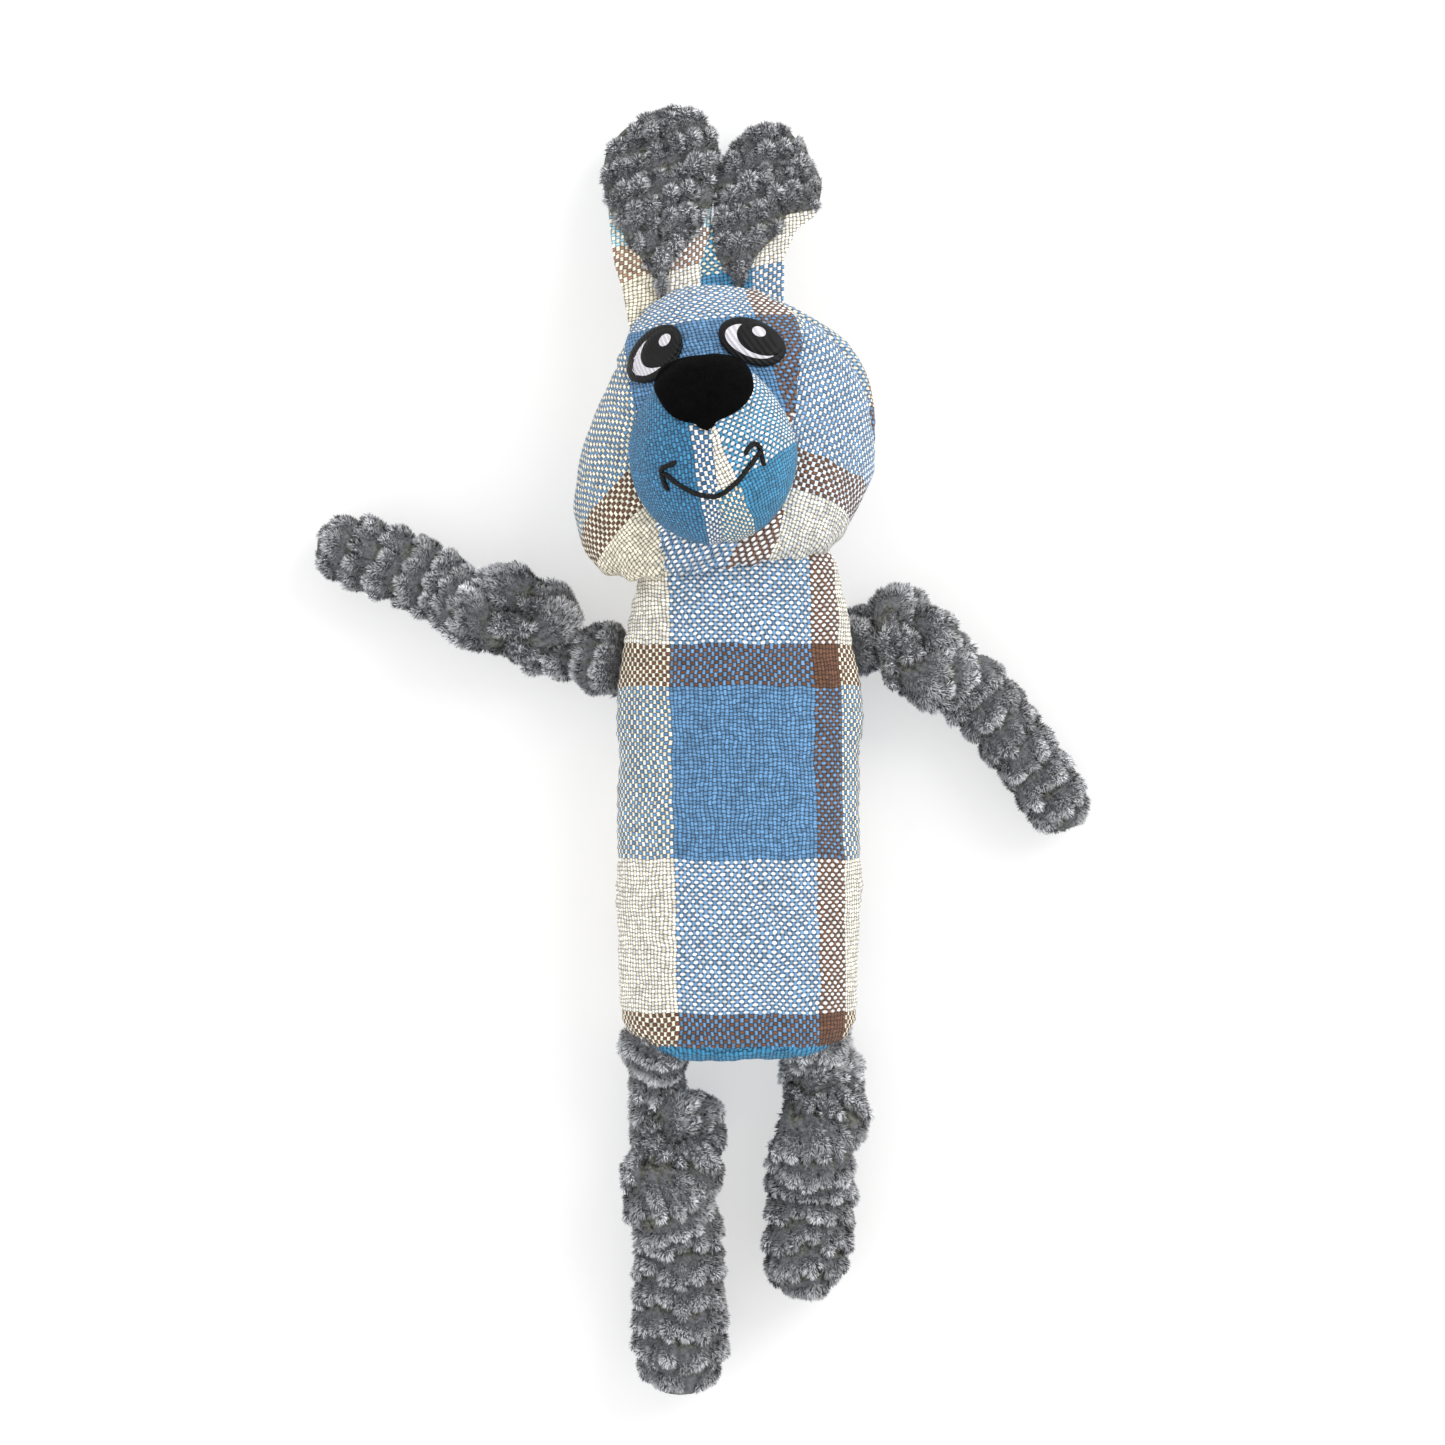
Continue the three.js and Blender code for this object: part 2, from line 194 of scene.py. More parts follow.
# %% [markdown]
# ## Woven plaid cotton
# The cloth is a plain weave: every thread passes over one and under the next. Yarn-dyed threads make
# the checks, so a blue warp under a white weft shows as blue and white dashes, not as a pale blue.
# The material therefore weaves the cloth: it counts threads both ways at 1.29 mm, takes each thread's
# colour from a list of stripes, and shows warp or weft by whether the two counts add to an even
# number. It reads a UV map in which one unit is 100 mm of cloth, so each panel can be cut from the
# bolt at its own place and angle. The bump rounds each thread and the noise makes it slubby. The
# colour also holds painted shade, darker in the gaps between threads, and painted highlight, lighter
# on their crowns.

# %% The weave
YARN_PITCH = 1.29  # millimetres between threads, both ways
DASH_WIDE, DASH_TALL = 1.32, 0.92  # half sizes of a weft dash, in half cells
BOLT = 100.0  # the stripe lists run from -BOLT to BOLT millimetres

CREAM = "E3DCC8"
WHITE = "E6E6E6"
BLUE = "5C86AE"
BROWN = "674634"
TEAL = "3A82AA"
DEEP_BLUE = "3B6890"
PALE_BLUE = "8FBFD2"


def stripe_ramp(material, count, stripes):
    """The colour of thread number count, from a list of (where it starts in mm, hex colour)."""
    middle = add_node(material, "Math", {0: count, 1: 0.5}, operation="ADD")
    where = add_node(material, "Math",
                     {0: middle, 1: YARN_PITCH / (2 * BOLT), 2: 0.5}, operation="MULTIPLY_ADD")
    ramp = add_node(material, "ValToRGB", {0: where})
    ramp.color_ramp.interpolation = "CONSTANT"
    ramp.color_ramp.elements[0].color = linear(stripes[0][1])
    ramp.color_ramp.elements[1].position = (stripes[1][0] + BOLT) / (2 * BOLT)
    ramp.color_ramp.elements[1].color = linear(stripes[1][1])
    for start, code in stripes[2:]:
        ramp.color_ramp.elements.new((start + BOLT) / (2 * BOLT)).color = linear(code)
    return ramp


def woven_cotton(name, warp, weft):
    """Plain-weave cotton cloth with coloured stripes: matt, soft, with rounded slubby threads. Painted shade
    darkens the gaps between the threads and painted highlight lightens their crowns.
    """
    m = new_material(name)

    def maths(operation, *values):
        return add_node(m, "Math", dict(enumerate(values)), operation=operation)

    uv = add_node(m, "UVMap", uv_map="cloth")
    cloth = add_node(m, "VectorMath", {0: uv, 1: (100, 100, 100)}, operation="MULTIPLY")
    drift = add_node(m, "TexNoise", {"Vector": cloth, "Scale": 0.09, "Detail": 2.0})
    centred = add_node(m, "VectorMath", {0: drift.outputs["Color"], 1: (0.5, 0.5, 0.5)},
                       operation="SUBTRACT")
    pulled = add_node(m, "VectorMath", {0: centred, 1: (3.2, 3.2, 0), 2: cloth}, operation="MULTIPLY_ADD")
    threads = add_node(m, "VectorMath", {0: pulled, 1: (1 / YARN_PITCH,) * 3}, operation="MULTIPLY")
    number = add_node(m, "VectorMath", {0: threads}, operation="FLOOR")
    inside = add_node(m, "VectorMath", {0: threads}, operation="FRACTION")
    n = add_node(m, "SeparateXYZ", {0: number})
    f = add_node(m, "SeparateXYZ", {0: inside})
    total = maths("ADD", n.outputs[0], n.outputs[1])
    weft_over = maths("PINGPONG", total, 1.0)
    # how far the spot is from the middle of its cell, across and up, from 0 to 1
    signed_u = maths("MULTIPLY_ADD", f.outputs[0], 2.0, -1.0)
    signed_v = maths("MULTIPLY_ADD", f.outputs[1], 2.0, -1.0)
    from_u = maths("ABSOLUTE", signed_u)
    from_v = maths("ABSOLUTE", signed_v)
    # each weft dash is an oval that is a third wider than its cell, so it laps over the warp beside it
    next_u = maths("SUBTRACT", 2.0, from_u)
    dash_u = add_node(m, "Mix", {0: weft_over, 2: next_u, 3: from_u})
    wide = maths("MULTIPLY", dash_u, 1 / DASH_WIDE)
    tall = maths("MULTIPLY", from_v, 1 / DASH_TALL)
    wide2 = maths("POWER", wide, 2.0)
    tall2 = maths("POWER", tall, 2.0)
    oval = maths("ADD", wide2, tall2)
    shows_weft = add_node(m, "MapRange", {0: oval, 1: 0.85, 2: 1.1, 3: 1.0, 4: 0.0})
    weft_crown = maths("MULTIPLY_ADD", oval, -0.75, 1.0)
    warp_side = maths("POWER", from_u, 2.0)
    warp_round = maths("MULTIPLY_ADD", warp_side, -0.7, 0.9)
    sinks = add_node(m, "MapRange", {0: weft_over, 3: 1.0, 4: 0.25})
    warp_crown = maths("MULTIPLY", warp_round, sinks)
    height = add_node(m, "Mix", {0: shows_weft, 2: warp_crown, 3: weft_crown})
    yarn = add_node(m, "Mix",
                    {0: shows_weft, 6: stripe_ramp(m, n.outputs[0], warp),
                     7: stripe_ramp(m, n.outputs[1], weft)}, data_type="RGBA")
    dash = add_node(m, "TexWhiteNoise", {0: number}, noise_dimensions="2D")
    slub = add_node(m, "TexNoise", {"Vector": cloth, "Scale": 0.35, "Detail": 3.0})
    uneven = maths("MULTIPLY_ADD", dash, 0.5, 0.44)
    patchy = maths("MULTIPLY_ADD", slub, 0.62, uneven)
    # painted shade and highlight: the colour is darkened where threads sink into the gaps between them and
    # lifted on their crowns
    painted_thread_shade = add_node(m, "MapRange", {0: height, 1: 0.12, 2: 0.9, 3: 0.14, 4: 1.42})
    depth = maths("MULTIPLY", painted_thread_shade, patchy)
    shaded = add_node(m, "VectorMath", {0: yarn, 3: depth}, operation="SCALE")
    hairs = add_node(m, "TexNoise", {"Vector": cloth, "Scale": 3.0, "Detail": 3.0})
    relief = maths("MULTIPLY_ADD", hairs, 0.5, height)
    bump = add_node(m, "Bump", {"Height": relief, "Distance": 0.0005, "Strength": 1.0})
    return finish_material(m, {"Base Color": shaded, "Roughness": 0.9, "Specular IOR Level": 0.25,
                               "Sheen Weight": 0.15, "Sheen Roughness": 0.5, "Normal": bump})


belly_plaid = woven_cotton("plain_weave_cotton_belly_plaid",
                           [(-100, CREAM), (-21.5, BLUE), (25, BROWN), (34.8, CREAM)],
                           [(-100, TEAL), (-71.5, BROWN), (-61, WHITE), (-13.6, BLUE), (39.5, BROWN),
                            (53, WHITE)])
back_plaid = woven_cotton("plain_weave_cotton_back_plaid",
                          [(-100, CREAM), (-28, BLUE), (-2, BROWN), (10, CREAM)],
                          [(-100, WHITE), (-46, BROWN), (-34, CREAM), (18, BLUE), (44, CREAM)])
base_plaid = woven_cotton("plain_weave_cotton_base_teal",
                          [(-100, TEAL), (99, TEAL)], [(-100, TEAL), (99, BLUE)])
face_plaid = woven_cotton("plain_weave_cotton_face_plaid",
                          [(-100, CREAM), (-24, BLUE), (23, BROWN), (36, CREAM)],
                          [(-100, WHITE), (44, BLUE), (78, WHITE)])
left_cheek_plaid = woven_cotton("plain_weave_cotton_left_cheek_plaid",
                                [(-100, CREAM), (99, CREAM)],
                                [(-100, CREAM), (30, BROWN), (42, BLUE), (92, CREAM)])
right_cheek_plaid = woven_cotton("plain_weave_cotton_right_cheek_plaid",
                                 [(-100, "D0D5DB"), (99, WHITE)],
                                 [(-100, CREAM), (29.2, BROWN), (40.7, BLUE), (94, CREAM)])
muzzle_left_plaid = woven_cotton("plain_weave_cotton_muzzle_left_plaid",
                                 [(-100, TEAL), (-7.7, WHITE)], [(-100, DEEP_BLUE), (99, DEEP_BLUE)])
muzzle_right_plaid = woven_cotton("plain_weave_cotton_muzzle_right_plaid",
                                  [(-100, CREAM), (2, TEAL)], [(-100, TEAL), (-12.5, WHITE)])
left_ear_plaid = woven_cotton("plain_weave_cotton_left_ear_plaid",
                              [(-100, CREAM), (2, WHITE), (60, BLUE)],
                              [(-100, CREAM), (24, "977763"), (36.5, PALE_BLUE), (90, WHITE)])
right_ear_plaid = woven_cotton("plain_weave_cotton_right_ear_plaid",
                               [(-100, TEAL), (-2, WHITE), (60, CREAM)],
                               [(-100, BLUE), (19, CREAM), (62, BLUE)])
print("woven cloths:", len([m for m in bpy.data.materials if "weave" in m.name]))

# %% [markdown]
# ## How a stuffed cover is made
# A stuffed cover starts as one circle that is extruded and scaled from ring to ring, which gives the
# form that the paper pattern would give. Its back is cut flat where it lies. Cloth pressure then
# swells it from inside, as fibre does, with the flat back held down, and no point may move further
# than a cap. The seams come after that, because a remesh would wipe them out.

# %% Draw out, cut flat and stuff
neck = Vector((-4, 75, 24))
LEAN = math.radians(6.5)
head_place = Matrix.Translation(neck * MM) @ Matrix.Rotation(LEAN, 4, "Z")


def rows_of(items, what):
    """One property of a mesh's vertices or faces, as rows of x, y and z."""
    flat = np.empty(len(items) * 3)
    items.foreach_get(what, flat)
    return flat.reshape(-1, 3)


def points(form):
    return rows_of(form.data.vertices, "co")


def set_points(form, co):
    form.data.vertices.foreach_set("co", np.ascontiguousarray(co).ravel())
    form.data.update()


def normals(form):
    return rows_of(form.data.vertices, "normal")


def draw_out(name, rings, sides=64):
    """One circle extruded from ring to ring. A ring is (y, half width, half depth, middle z) in mm."""
    deselect()
    y, wide, deep, z = rings[0]
    bpy.ops.mesh.primitive_circle_add(vertices=sides, radius=MM, fill_type="NGON",
                                      location=(0, y * MM, z * MM), rotation=(math.pi / 2, 0, 0))
    form = bpy.context.object
    form.name = name
    edit_all()
    bpy.ops.transform.resize(value=(wide, 1, deep), center_override=(0, y * MM, z * MM))
    for last, ring in zip(rings, rings[1:]):
        step = (0, (ring[0] - last[0]) * MM, (ring[3] - last[3]) * MM)
        bpy.ops.mesh.extrude_region_move(TRANSFORM_OT_translate={"value": step})
        bpy.ops.transform.resize(value=(ring[1] / last[1], 1, ring[2] / last[2]),
                                 center_override=(0, ring[0] * MM, ring[3] * MM))
    bpy.ops.object.mode_set(mode="OBJECT")
    bpy.ops.object.transform_apply(location=True, rotation=True, scale=True)
    return form


def cut(form, point, direction, keep_both=True):
    """A straight cut through the mesh; with keep_both off, what lies behind the plane is removed."""
    activate(form)
    edit_all()
    bpy.ops.mesh.bisect(plane_co=point, plane_no=direction, use_fill=not keep_both,
                        clear_inner=not keep_both)
    bpy.ops.object.mode_set(mode="OBJECT")


def apply_modifier(form, kind, **settings):
    activate(form)
    modifier = form.modifiers.new("step", kind)
    for key, value in settings.items():
        setattr(modifier, key, value)
    bpy.ops.object.modifier_apply(modifier=modifier.name)


def stuff(form, voxel, pressure, cap, held):
    """Remesh, swell by cloth pressure and subdivide. held(co) says which points can't move."""
    activate(form)
    form.data.remesh_voxel_size = voxel * MM
    bpy.ops.object.voxel_remesh()
    before = points(form)
    group = form.vertex_groups.new(name="held")
    group.add([int(i) for i in np.flatnonzero(held(before / MM))], 1.0, "REPLACE")
    cloth = form.modifiers.new("stuffing", "CLOTH")
    cloth.settings.quality = 6
    cloth.settings.tension_stiffness = 12
    cloth.settings.compression_stiffness = 4
    cloth.settings.bending_stiffness = 0.3
    cloth.settings.use_pressure = True
    cloth.settings.uniform_pressure_force = pressure
    cloth.settings.effector_weights.gravity = 0
    cloth.settings.vertex_group_mass = "held"
    cloth.collision_settings.use_collision = False
    cloth.point_cache.frame_start = 1
    cloth.point_cache.frame_end = 20
    for number in range(1, 21):
        scene.frame_set(number)
    graph = bpy.context.evaluated_depsgraph_get()
    after = points(form.evaluated_get(graph))
    form.modifiers.remove(cloth)
    scene.frame_set(1)
    step = after - before
    far = np.linalg.norm(step, axis=1, keepdims=True)
    set_points(form, before + step * np.minimum(1, cap * MM / np.maximum(far, 1e-9)))
    form.vertex_groups.clear()
    print(form.name, "swelled by", round(float(np.minimum(far, cap * MM).max()) / MM, 2), "mm")
    apply_modifier(form, "SMOOTH", factor=0.5, iterations=2)
    apply_modifier(form, "SUBSURF", levels=1, render_levels=1)


def bell(distance, width):
    return np.exp(-((distance / width) ** 2))


def wander(co, size, seed):
    """A smooth random field from -1 to 1, made of a few waves: the unevenness of hand stuffing."""
    dice = np.random.default_rng(seed)
    field = np.zeros(len(co))
    for _ in range(7):
        way = dice.normal(size=3)
        way /= np.linalg.norm(way)
        field += np.sin(co @ way * 2 * math.pi / (size * dice.uniform(0.7, 1.5)) + dice.uniform(0, 6.28))
    return field / 3.2


def arc_round(co, half_width, half_depth):
    """How far round a cover a point is, in mm, from the middle of its front. co is centred."""
    x, z = co[:, 0] / half_width, co[:, 2] / half_depth
    angle = np.arctan2(x, z)
    size = np.hypot(x, z)
    table = np.linspace(-math.pi, math.pi, 721)
    speed = np.hypot(half_width * np.cos(table), half_depth * np.sin(table))
    length = np.concatenate([[0], np.cumsum((speed[1:] + speed[:-1]) / 2 * np.diff(table))])
    return np.interp(angle, table, length - length[360]) * np.minimum(size, 1.08)


def corners(form, of_vertex):
    """A per-vertex array spread to the face corners."""
    index = np.empty(len(form.data.loops), int)
    form.data.loops.foreach_get("vertex_index", index)
    return of_vertex[index]


def face_middles(form):
    return rows_of(form.data.polygons, "center")


def unit_rows(vectors):
    """Vectors in the last axis, each made one long."""
    return vectors / np.maximum(np.linalg.norm(vectors, axis=-1, keepdims=True), 1e-9)


def lay_cloth(form, panel_of_face, sheets, materials):
    """Give each face its panel's material, and each face corner its place on that panel's cloth."""
    form.data.materials.clear()
    for material in materials:
        form.data.materials.append(material)
    form.data.polygons.foreach_set("material_index", panel_of_face.astype(np.int32))
    counts = np.empty(len(form.data.polygons), int)
    form.data.polygons.foreach_get("loop_total", counts)
    panel_of_corner = np.repeat(panel_of_face, counts)
    uv = np.zeros((len(form.data.loops), 2))
    for panel, sheet in enumerate(sheets):
        chosen = panel_of_corner == panel
        uv[chosen] = corners(form, sheet)[chosen]
    layer = form.data.uv_layers.new(name="cloth")
    layer.data.foreach_set("uv", (uv / 100).ravel())
    form.data.polygons.foreach_set("use_smooth", np.ones(len(form.data.polygons), bool))
    form.data.update()


def turned(u, v, degrees):
    a = math.radians(degrees)
    return np.stack([u * math.cos(a) + v * math.sin(a), v * math.cos(a) - u * math.sin(a)], axis=1)


# %% [markdown]
# ## The torso
# It is a pillow with a belly panel, a back panel and a teal base under the hips. The seams run round
# both sides and across the base. Each seam is a cut through the mesh whose points are drawn in by
# about a millimetre, with fine puckers beside it, because a sewn line holds the cloth down while the
# filling pushes it up between the stitches.

# %% Torso cover
TORSO_Z = 22.0
HALF_ROUND_TORSO = 103.4  # from the middle of the belly round to the middle of the back, in mm
BASE_SEAM = -71.0
LIMB_ROOTS = {"left_arm": (-40, 50, 16), "right_arm": (38, 53, 16),
              "left_leg": (-26, -74.5, 17), "right_leg": (25.5, -74.5, 17)}
torso = draw_out("torso_cover", [
    (-76.4, 20, 12, 22), (-75.4, 27, 17, 22), (-72, 33, 21.2, 22), (-66, 36.6, 24, 22),
    (-56, 38.2, 25.2, 22), (-30, 38.6, 25.6, 22), (0, 38.6, 25.6, 22), (30, 38.6, 25.6, 22),
    (48, 38, 25.2, 22), (58, 36.4, 24.4, 22), (66, 34.4, 23.4, 22.5), (73, 32, 22, 23.5), (80, 30, 20.5, 25),
    (86, 25, 16, 26)])
cut(torso, (0, 0, 0), (0, 0, 1), keep_both=False)
stuff(torso, 3.4, 4.0, 3.0, lambda co: (co[:, 2] < 0.8) | (co[:, 1] > 76))
cut(torso, (0, 0, TORSO_Z * MM), (0, 0, 1))
cut(torso, (0, BASE_SEAM * MM, 0), (0, 1, 0))

co = points(torso) / MM
out = normals(torso)
side_seam = np.where(co[:, 1] > BASE_SEAM - 1, np.abs(co[:, 2] - TORSO_Z), 99)
base_seam = np.abs(co[:, 1] - BASE_SEAM)
pucker = 0.5 + 0.5 * np.sin(co[:, 1] * 2 * math.pi / 5.2 + np.sin(co[:, 1] / 7))
pucker_base = 0.5 + 0.5 * np.sin(co[:, 0] * 2 * math.pi / 5.6 + np.sin(co[:, 0] / 6))
push = 0.55 * wander(co, 34, 3) + 0.22 * wander(co, 12, 4)
push -= 1.1 * bell(side_seam, 1.5) + 0.5 * pucker * bell(side_seam - 3, 2.5)
push -= 1.1 * bell(base_seam, 1.5) + 0.5 * pucker_base * bell(base_seam - 3, 2.5)
for root in LIMB_ROOTS.values():
    away = np.linalg.norm(co - np.array(root), axis=1)
    push -= 1.6 * bell(away, 9)
push *= np.clip(co[:, 2] / 4, 0, 1)
set_points(torso, (co + out * push[:, None]) * MM)

middle = face_middles(torso) / MM
panel = np.where(middle[:, 1] < BASE_SEAM, 2, np.where(middle[:, 2] > TORSO_Z, 0, 1))
co = points(torso) / MM
round_it = arc_round(co - np.array([0, 0, TORSO_Z]), 39, 26)
belly_sheet = np.stack([round_it + 0.025 * co[:, 1], co[:, 1]], axis=1)
behind = np.where(round_it > 0, round_it - HALF_ROUND_TORSO, round_it + HALF_ROUND_TORSO)
back_sheet = np.stack([behind * 0.55 + 20, co[:, 1]], axis=1)
base_sheet = np.stack([co[:, 0], co[:, 2]], axis=1)
lay_cloth(torso, panel, [belly_sheet, back_sheet, base_sheet], [belly_plaid, back_plaid, base_plaid])
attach(torso, "torso")
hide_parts("torso_front_panel", "torso_back_panel", "torso_base_panel",
            "torso_front_filling", "torso_back_filling", "neck_gather")
print("torso:", len(torso.data.polygons), "faces, size", [round(x / MM, 1) for x in torso.dimensions])

# %% [markdown]
# ## The head
# The head is a pear with full cheeks. A face panel runs down its middle between two cheek panels, and
# a cream back panel wraps a little way round the sides. The cheeks are cut on the bias, so their
# bands slant: the left one rises to the right and the right one falls to the right. The face panel's
# grain slides sideways at the chin, where darts gather it into the neck.

# %% Head cover
head = draw_out("head_cover", [
    (0.4, 24, 15, 4), (1.2, 30.5, 20, 5), (5.5, 37.6, 26.5, 6), (11.7, 41.6, 29.6, 7), (17.9, 44.6, 31.4, 7),
    (24, 46.9, 32.3, 7), (30.2, 47.4, 32.6, 7), (36.4, 47.1, 32.5, 7), (42.6, 46.2, 32.1, 7),
    (48.8, 44.5, 31.4, 7), (55, 42.4, 30.4, 7), (61.2, 39.6, 29, 7), (67.4, 36.2, 27, 7),
    (73.5, 31.5, 24.4, 7), (79.7, 25.4, 20.4, 7), (85, 17.6, 15, 7), (88.4, 9, 8, 7)])
cut(head, (0, 0, -23.9 * MM), (0, 0, 1), keep_both=False)
stuff(head, 3.4, 4.0, 3.0, lambda co: (co[:, 2] < -22.9) | (co[:, 1] < 1))

HALF_ROUND_HEAD = 128.8  # from the middle of the face round to the back of the head, in mm

# the head is stuffed a little lopsided: (height, how far its outline sits to the right) in mm
LOPSIDED = np.array([(0, -2), (5, -1.9), (11.7, -0.9), (24, 1.9), (36, 4.2), (49, 7.4), (61, 9.2),
                     (67, 9.4), (73.5, 7), (80, 4.7), (90, 2)])
co = points(head) / MM
co[:, 0] += np.interp(co[:, 1], LOPSIDED[:, 0], LOPSIDED[:, 1])
set_points(head, co * MM)

LEFT_SEAM = ((3, -18.4), (72, -23.2))  # height, sideways, in mm, at the chin and at the brow
RIGHT_SEAM = ((0, 15.5), (66, 30.8))
# the back seam's depth in the middle of the chin, its rise with height, and its rise to either side
BACK_SEAM = (-45, 0.5, 0.5, 0.72)


def line_at(line, height):
    (h0, x0), (h1, x1) = line
    return x0 + (height - h0) * (x1 - x0) / (h1 - h0)


def back_seam_depth(x, height):
    start, by_height, by_left, by_right = BACK_SEAM
    return start + by_height * height + np.where(x < 0, by_left, by_right) * np.abs(x)


for (h0, x0), (h1, x1) in (LEFT_SEAM, RIGHT_SEAM):
    cut(head, (x0 * MM, h0 * MM, 0), Vector((h1 - h0, x0 - x1, 0)).normalized())
for way, by_side in ((-1, BACK_SEAM[2]), (1, BACK_SEAM[3])):
    cut(head, (0, 0, BACK_SEAM[0] * MM), Vector((-way * by_side, -BACK_SEAM[1], 1)).normalized())

co = points(head) / MM
out = normals(head)
height = co[:, 1]
front = co[:, 2] > back_seam_depth(co[:, 0], height)
seams = [np.where(front, np.abs(co[:, 0] - line_at(LEFT_SEAM, height)), 99),
         np.where(front, np.abs(co[:, 0] - line_at(RIGHT_SEAM, height)), 99),
         np.abs(co[:, 2] - back_seam_depth(co[:, 0], height)) * 0.72]
push = 0.5 * wander(co, 30, 5) + 0.22 * wander(co, 11, 6)
ripple = 0.5 + 0.5 * np.sin(height * 2 * math.pi / 5.4 + np.sin(height / 6))
for seam in seams:
    push -= 1.1 * bell(seam, 1.5) + 0.45 * ripple * bell(seam - 3, 2.4)
# small folds fan out from the gathered neck
fan = np.sin(co[:, 0] * 2 * math.pi / 7.5 + 1)
push += 0.7 * fan * bell(height - 1, 8) * (co[:, 2] > 0)
push *= np.clip((co[:, 2] + 24) / 4, 0, 1)
set_points(head, (co + out * push[:, None]) * MM)

middle = face_middles(head) / MM
behind = middle[:, 2] < back_seam_depth(middle[:, 0], middle[:, 1])
on_left = middle[:, 0] < line_at(LEFT_SEAM, middle[:, 1])
on_right = middle[:, 0] > line_at(RIGHT_SEAM, middle[:, 1])
panel = np.where(behind, 3, np.where(on_left, 1, np.where(on_right, 2, 0)))
co = points(head) / MM
height = co[:, 1]
aside = np.interp(height, LOPSIDED[:, 0], LOPSIDED[:, 1])
round_it = arc_round(co - np.stack([aside, 0 * aside, 7 + 0 * aside], axis=1), 48.3, 33) + aside
slide = 24 * np.clip((45 - height) / 45, 0, 1) ** 1.3 + 7 * np.clip((height - 48) / 34, 0, 1)
rise = height + 0.012 * np.clip(height - 60, 0, 40) ** 2
face_sheet = np.stack([round_it + slide, rise], axis=1)
left_sheet = turned(round_it, height, 33)
right_sheet = turned(round_it, height, -22.7)
back_round = np.where(round_it > 0, round_it - HALF_ROUND_HEAD, round_it + HALF_ROUND_HEAD)
back_of_head = np.stack([back_round * 0.6 + 40, height], axis=1)
lay_cloth(head, panel, [face_sheet, left_sheet, right_sheet, back_of_head],
          [face_plaid, left_cheek_plaid, right_cheek_plaid, back_plaid])
head.data.transform(head_place)
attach(head, "head")
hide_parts("head_face_panel", "head_left_cheek_panel", "head_right_cheek_panel", "head_back_panel",
            "head_filling")
print("head:", len(head.data.polygons), "faces, size", [round(x / MM, 1) for x in head.dimensions])

# %% [markdown]
# ## The muzzle
# The muzzle is a deep egg made of two panels that meet in a seam down its middle. The left panel lies
# straight with the head, and the right one is turned by about 20 degrees, which gives the slanted
# cream wedge. It starts from a sphere, because an egg is a sphere that is pushed and scaled.

# %% Muzzle cover
MUZZLE = np.array([0, 35.7, 35.0])
MUZZLE_SIZE = np.array([25.2, 28.4, 29.6])
deselect()
bpy.ops.mesh.primitive_uv_sphere_add(segments=48, ring_count=24, radius=MM, location=tuple(MUZZLE * MM))
muzzle = bpy.context.object
muzzle.name = "muzzle_cover"
edit_all()
bpy.ops.transform.resize(value=tuple(MUZZLE_SIZE), center_override=tuple(MUZZLE * MM))
bpy.ops.object.mode_set(mode="OBJECT")
bpy.ops.object.transform_apply(location=True, rotation=True, scale=True)
co = points(muzzle) / MM
up = (co[:, 1] - MUZZLE[1]) / MUZZLE_SIZE[1]
co[:, 0] *= 1 - 0.10 * np.clip(up, 0, 1) + 0.03 * np.clip(-up, 0, 1)
co[:, 2] += 0.5 * np.clip(co[:, 2] - MUZZLE[2], 0, 99) * np.clip(up, 0, 1) ** 3
set_points(muzzle, co * MM)
cut(muzzle, (0, 0, 4 * MM), (0, 0, 1), keep_both=False)
stuff(muzzle, 2.6, 3.0, 1.5, lambda co: co[:, 2] < 6)
cut(muzzle, (0, 0, 0), (1, 0, 0))
co = points(muzzle) / MM
out = normals(muzzle)
seam = np.abs(co[:, 0])
ripple = 0.5 + 0.5 * np.sin(co[:, 1] * 2 * math.pi / 4.6)
push = 0.35 * wander(co, 22, 8) - 1.0 * bell(seam, 1.2) - 0.35 * ripple * bell(seam - 2.5, 2)
set_points(muzzle, (co + out * push[:, None]) * MM)
co = points(muzzle) / MM
unit = (co - MUZZLE) / MUZZLE_SIZE
tip_angle = np.arccos(np.clip(unit[:, 2] / np.linalg.norm(unit, axis=1), -1, 1))
spread = 27 * tip_angle / np.maximum(np.hypot(unit[:, 0], unit[:, 1]), 1e-6)
u, v = unit[:, 0] * spread, unit[:, 1] * spread
middle = face_middles(muzzle) / MM
lay_cloth(muzzle, np.where(middle[:, 0] < 0, 0, 1), [turned(u, v, 0), turned(u, v, 20)],
          [muzzle_left_plaid, muzzle_right_plaid])
muzzle.data.transform(head_place)
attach(muzzle, "head")
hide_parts("muzzle_left_panel", "muzzle_right_panel", "muzzle_filling")
print("muzzle:", len(muzzle.data.polygons), "faces, size", [round(x / MM, 1) for x in muzzle.dimensions])

# %% [markdown]
# ## Embroidery and velour
# The eyes and the mouth are sewn with glossy thread. Satin stitch lays the threads side by side, so
# the finish is a row of fine ridges 0.45 mm apart with a silky sheen. The nose is a patch of short
# black velour, which is nearly black face on and a little lighter where its pile turns away.

# %% Thread and velour materials


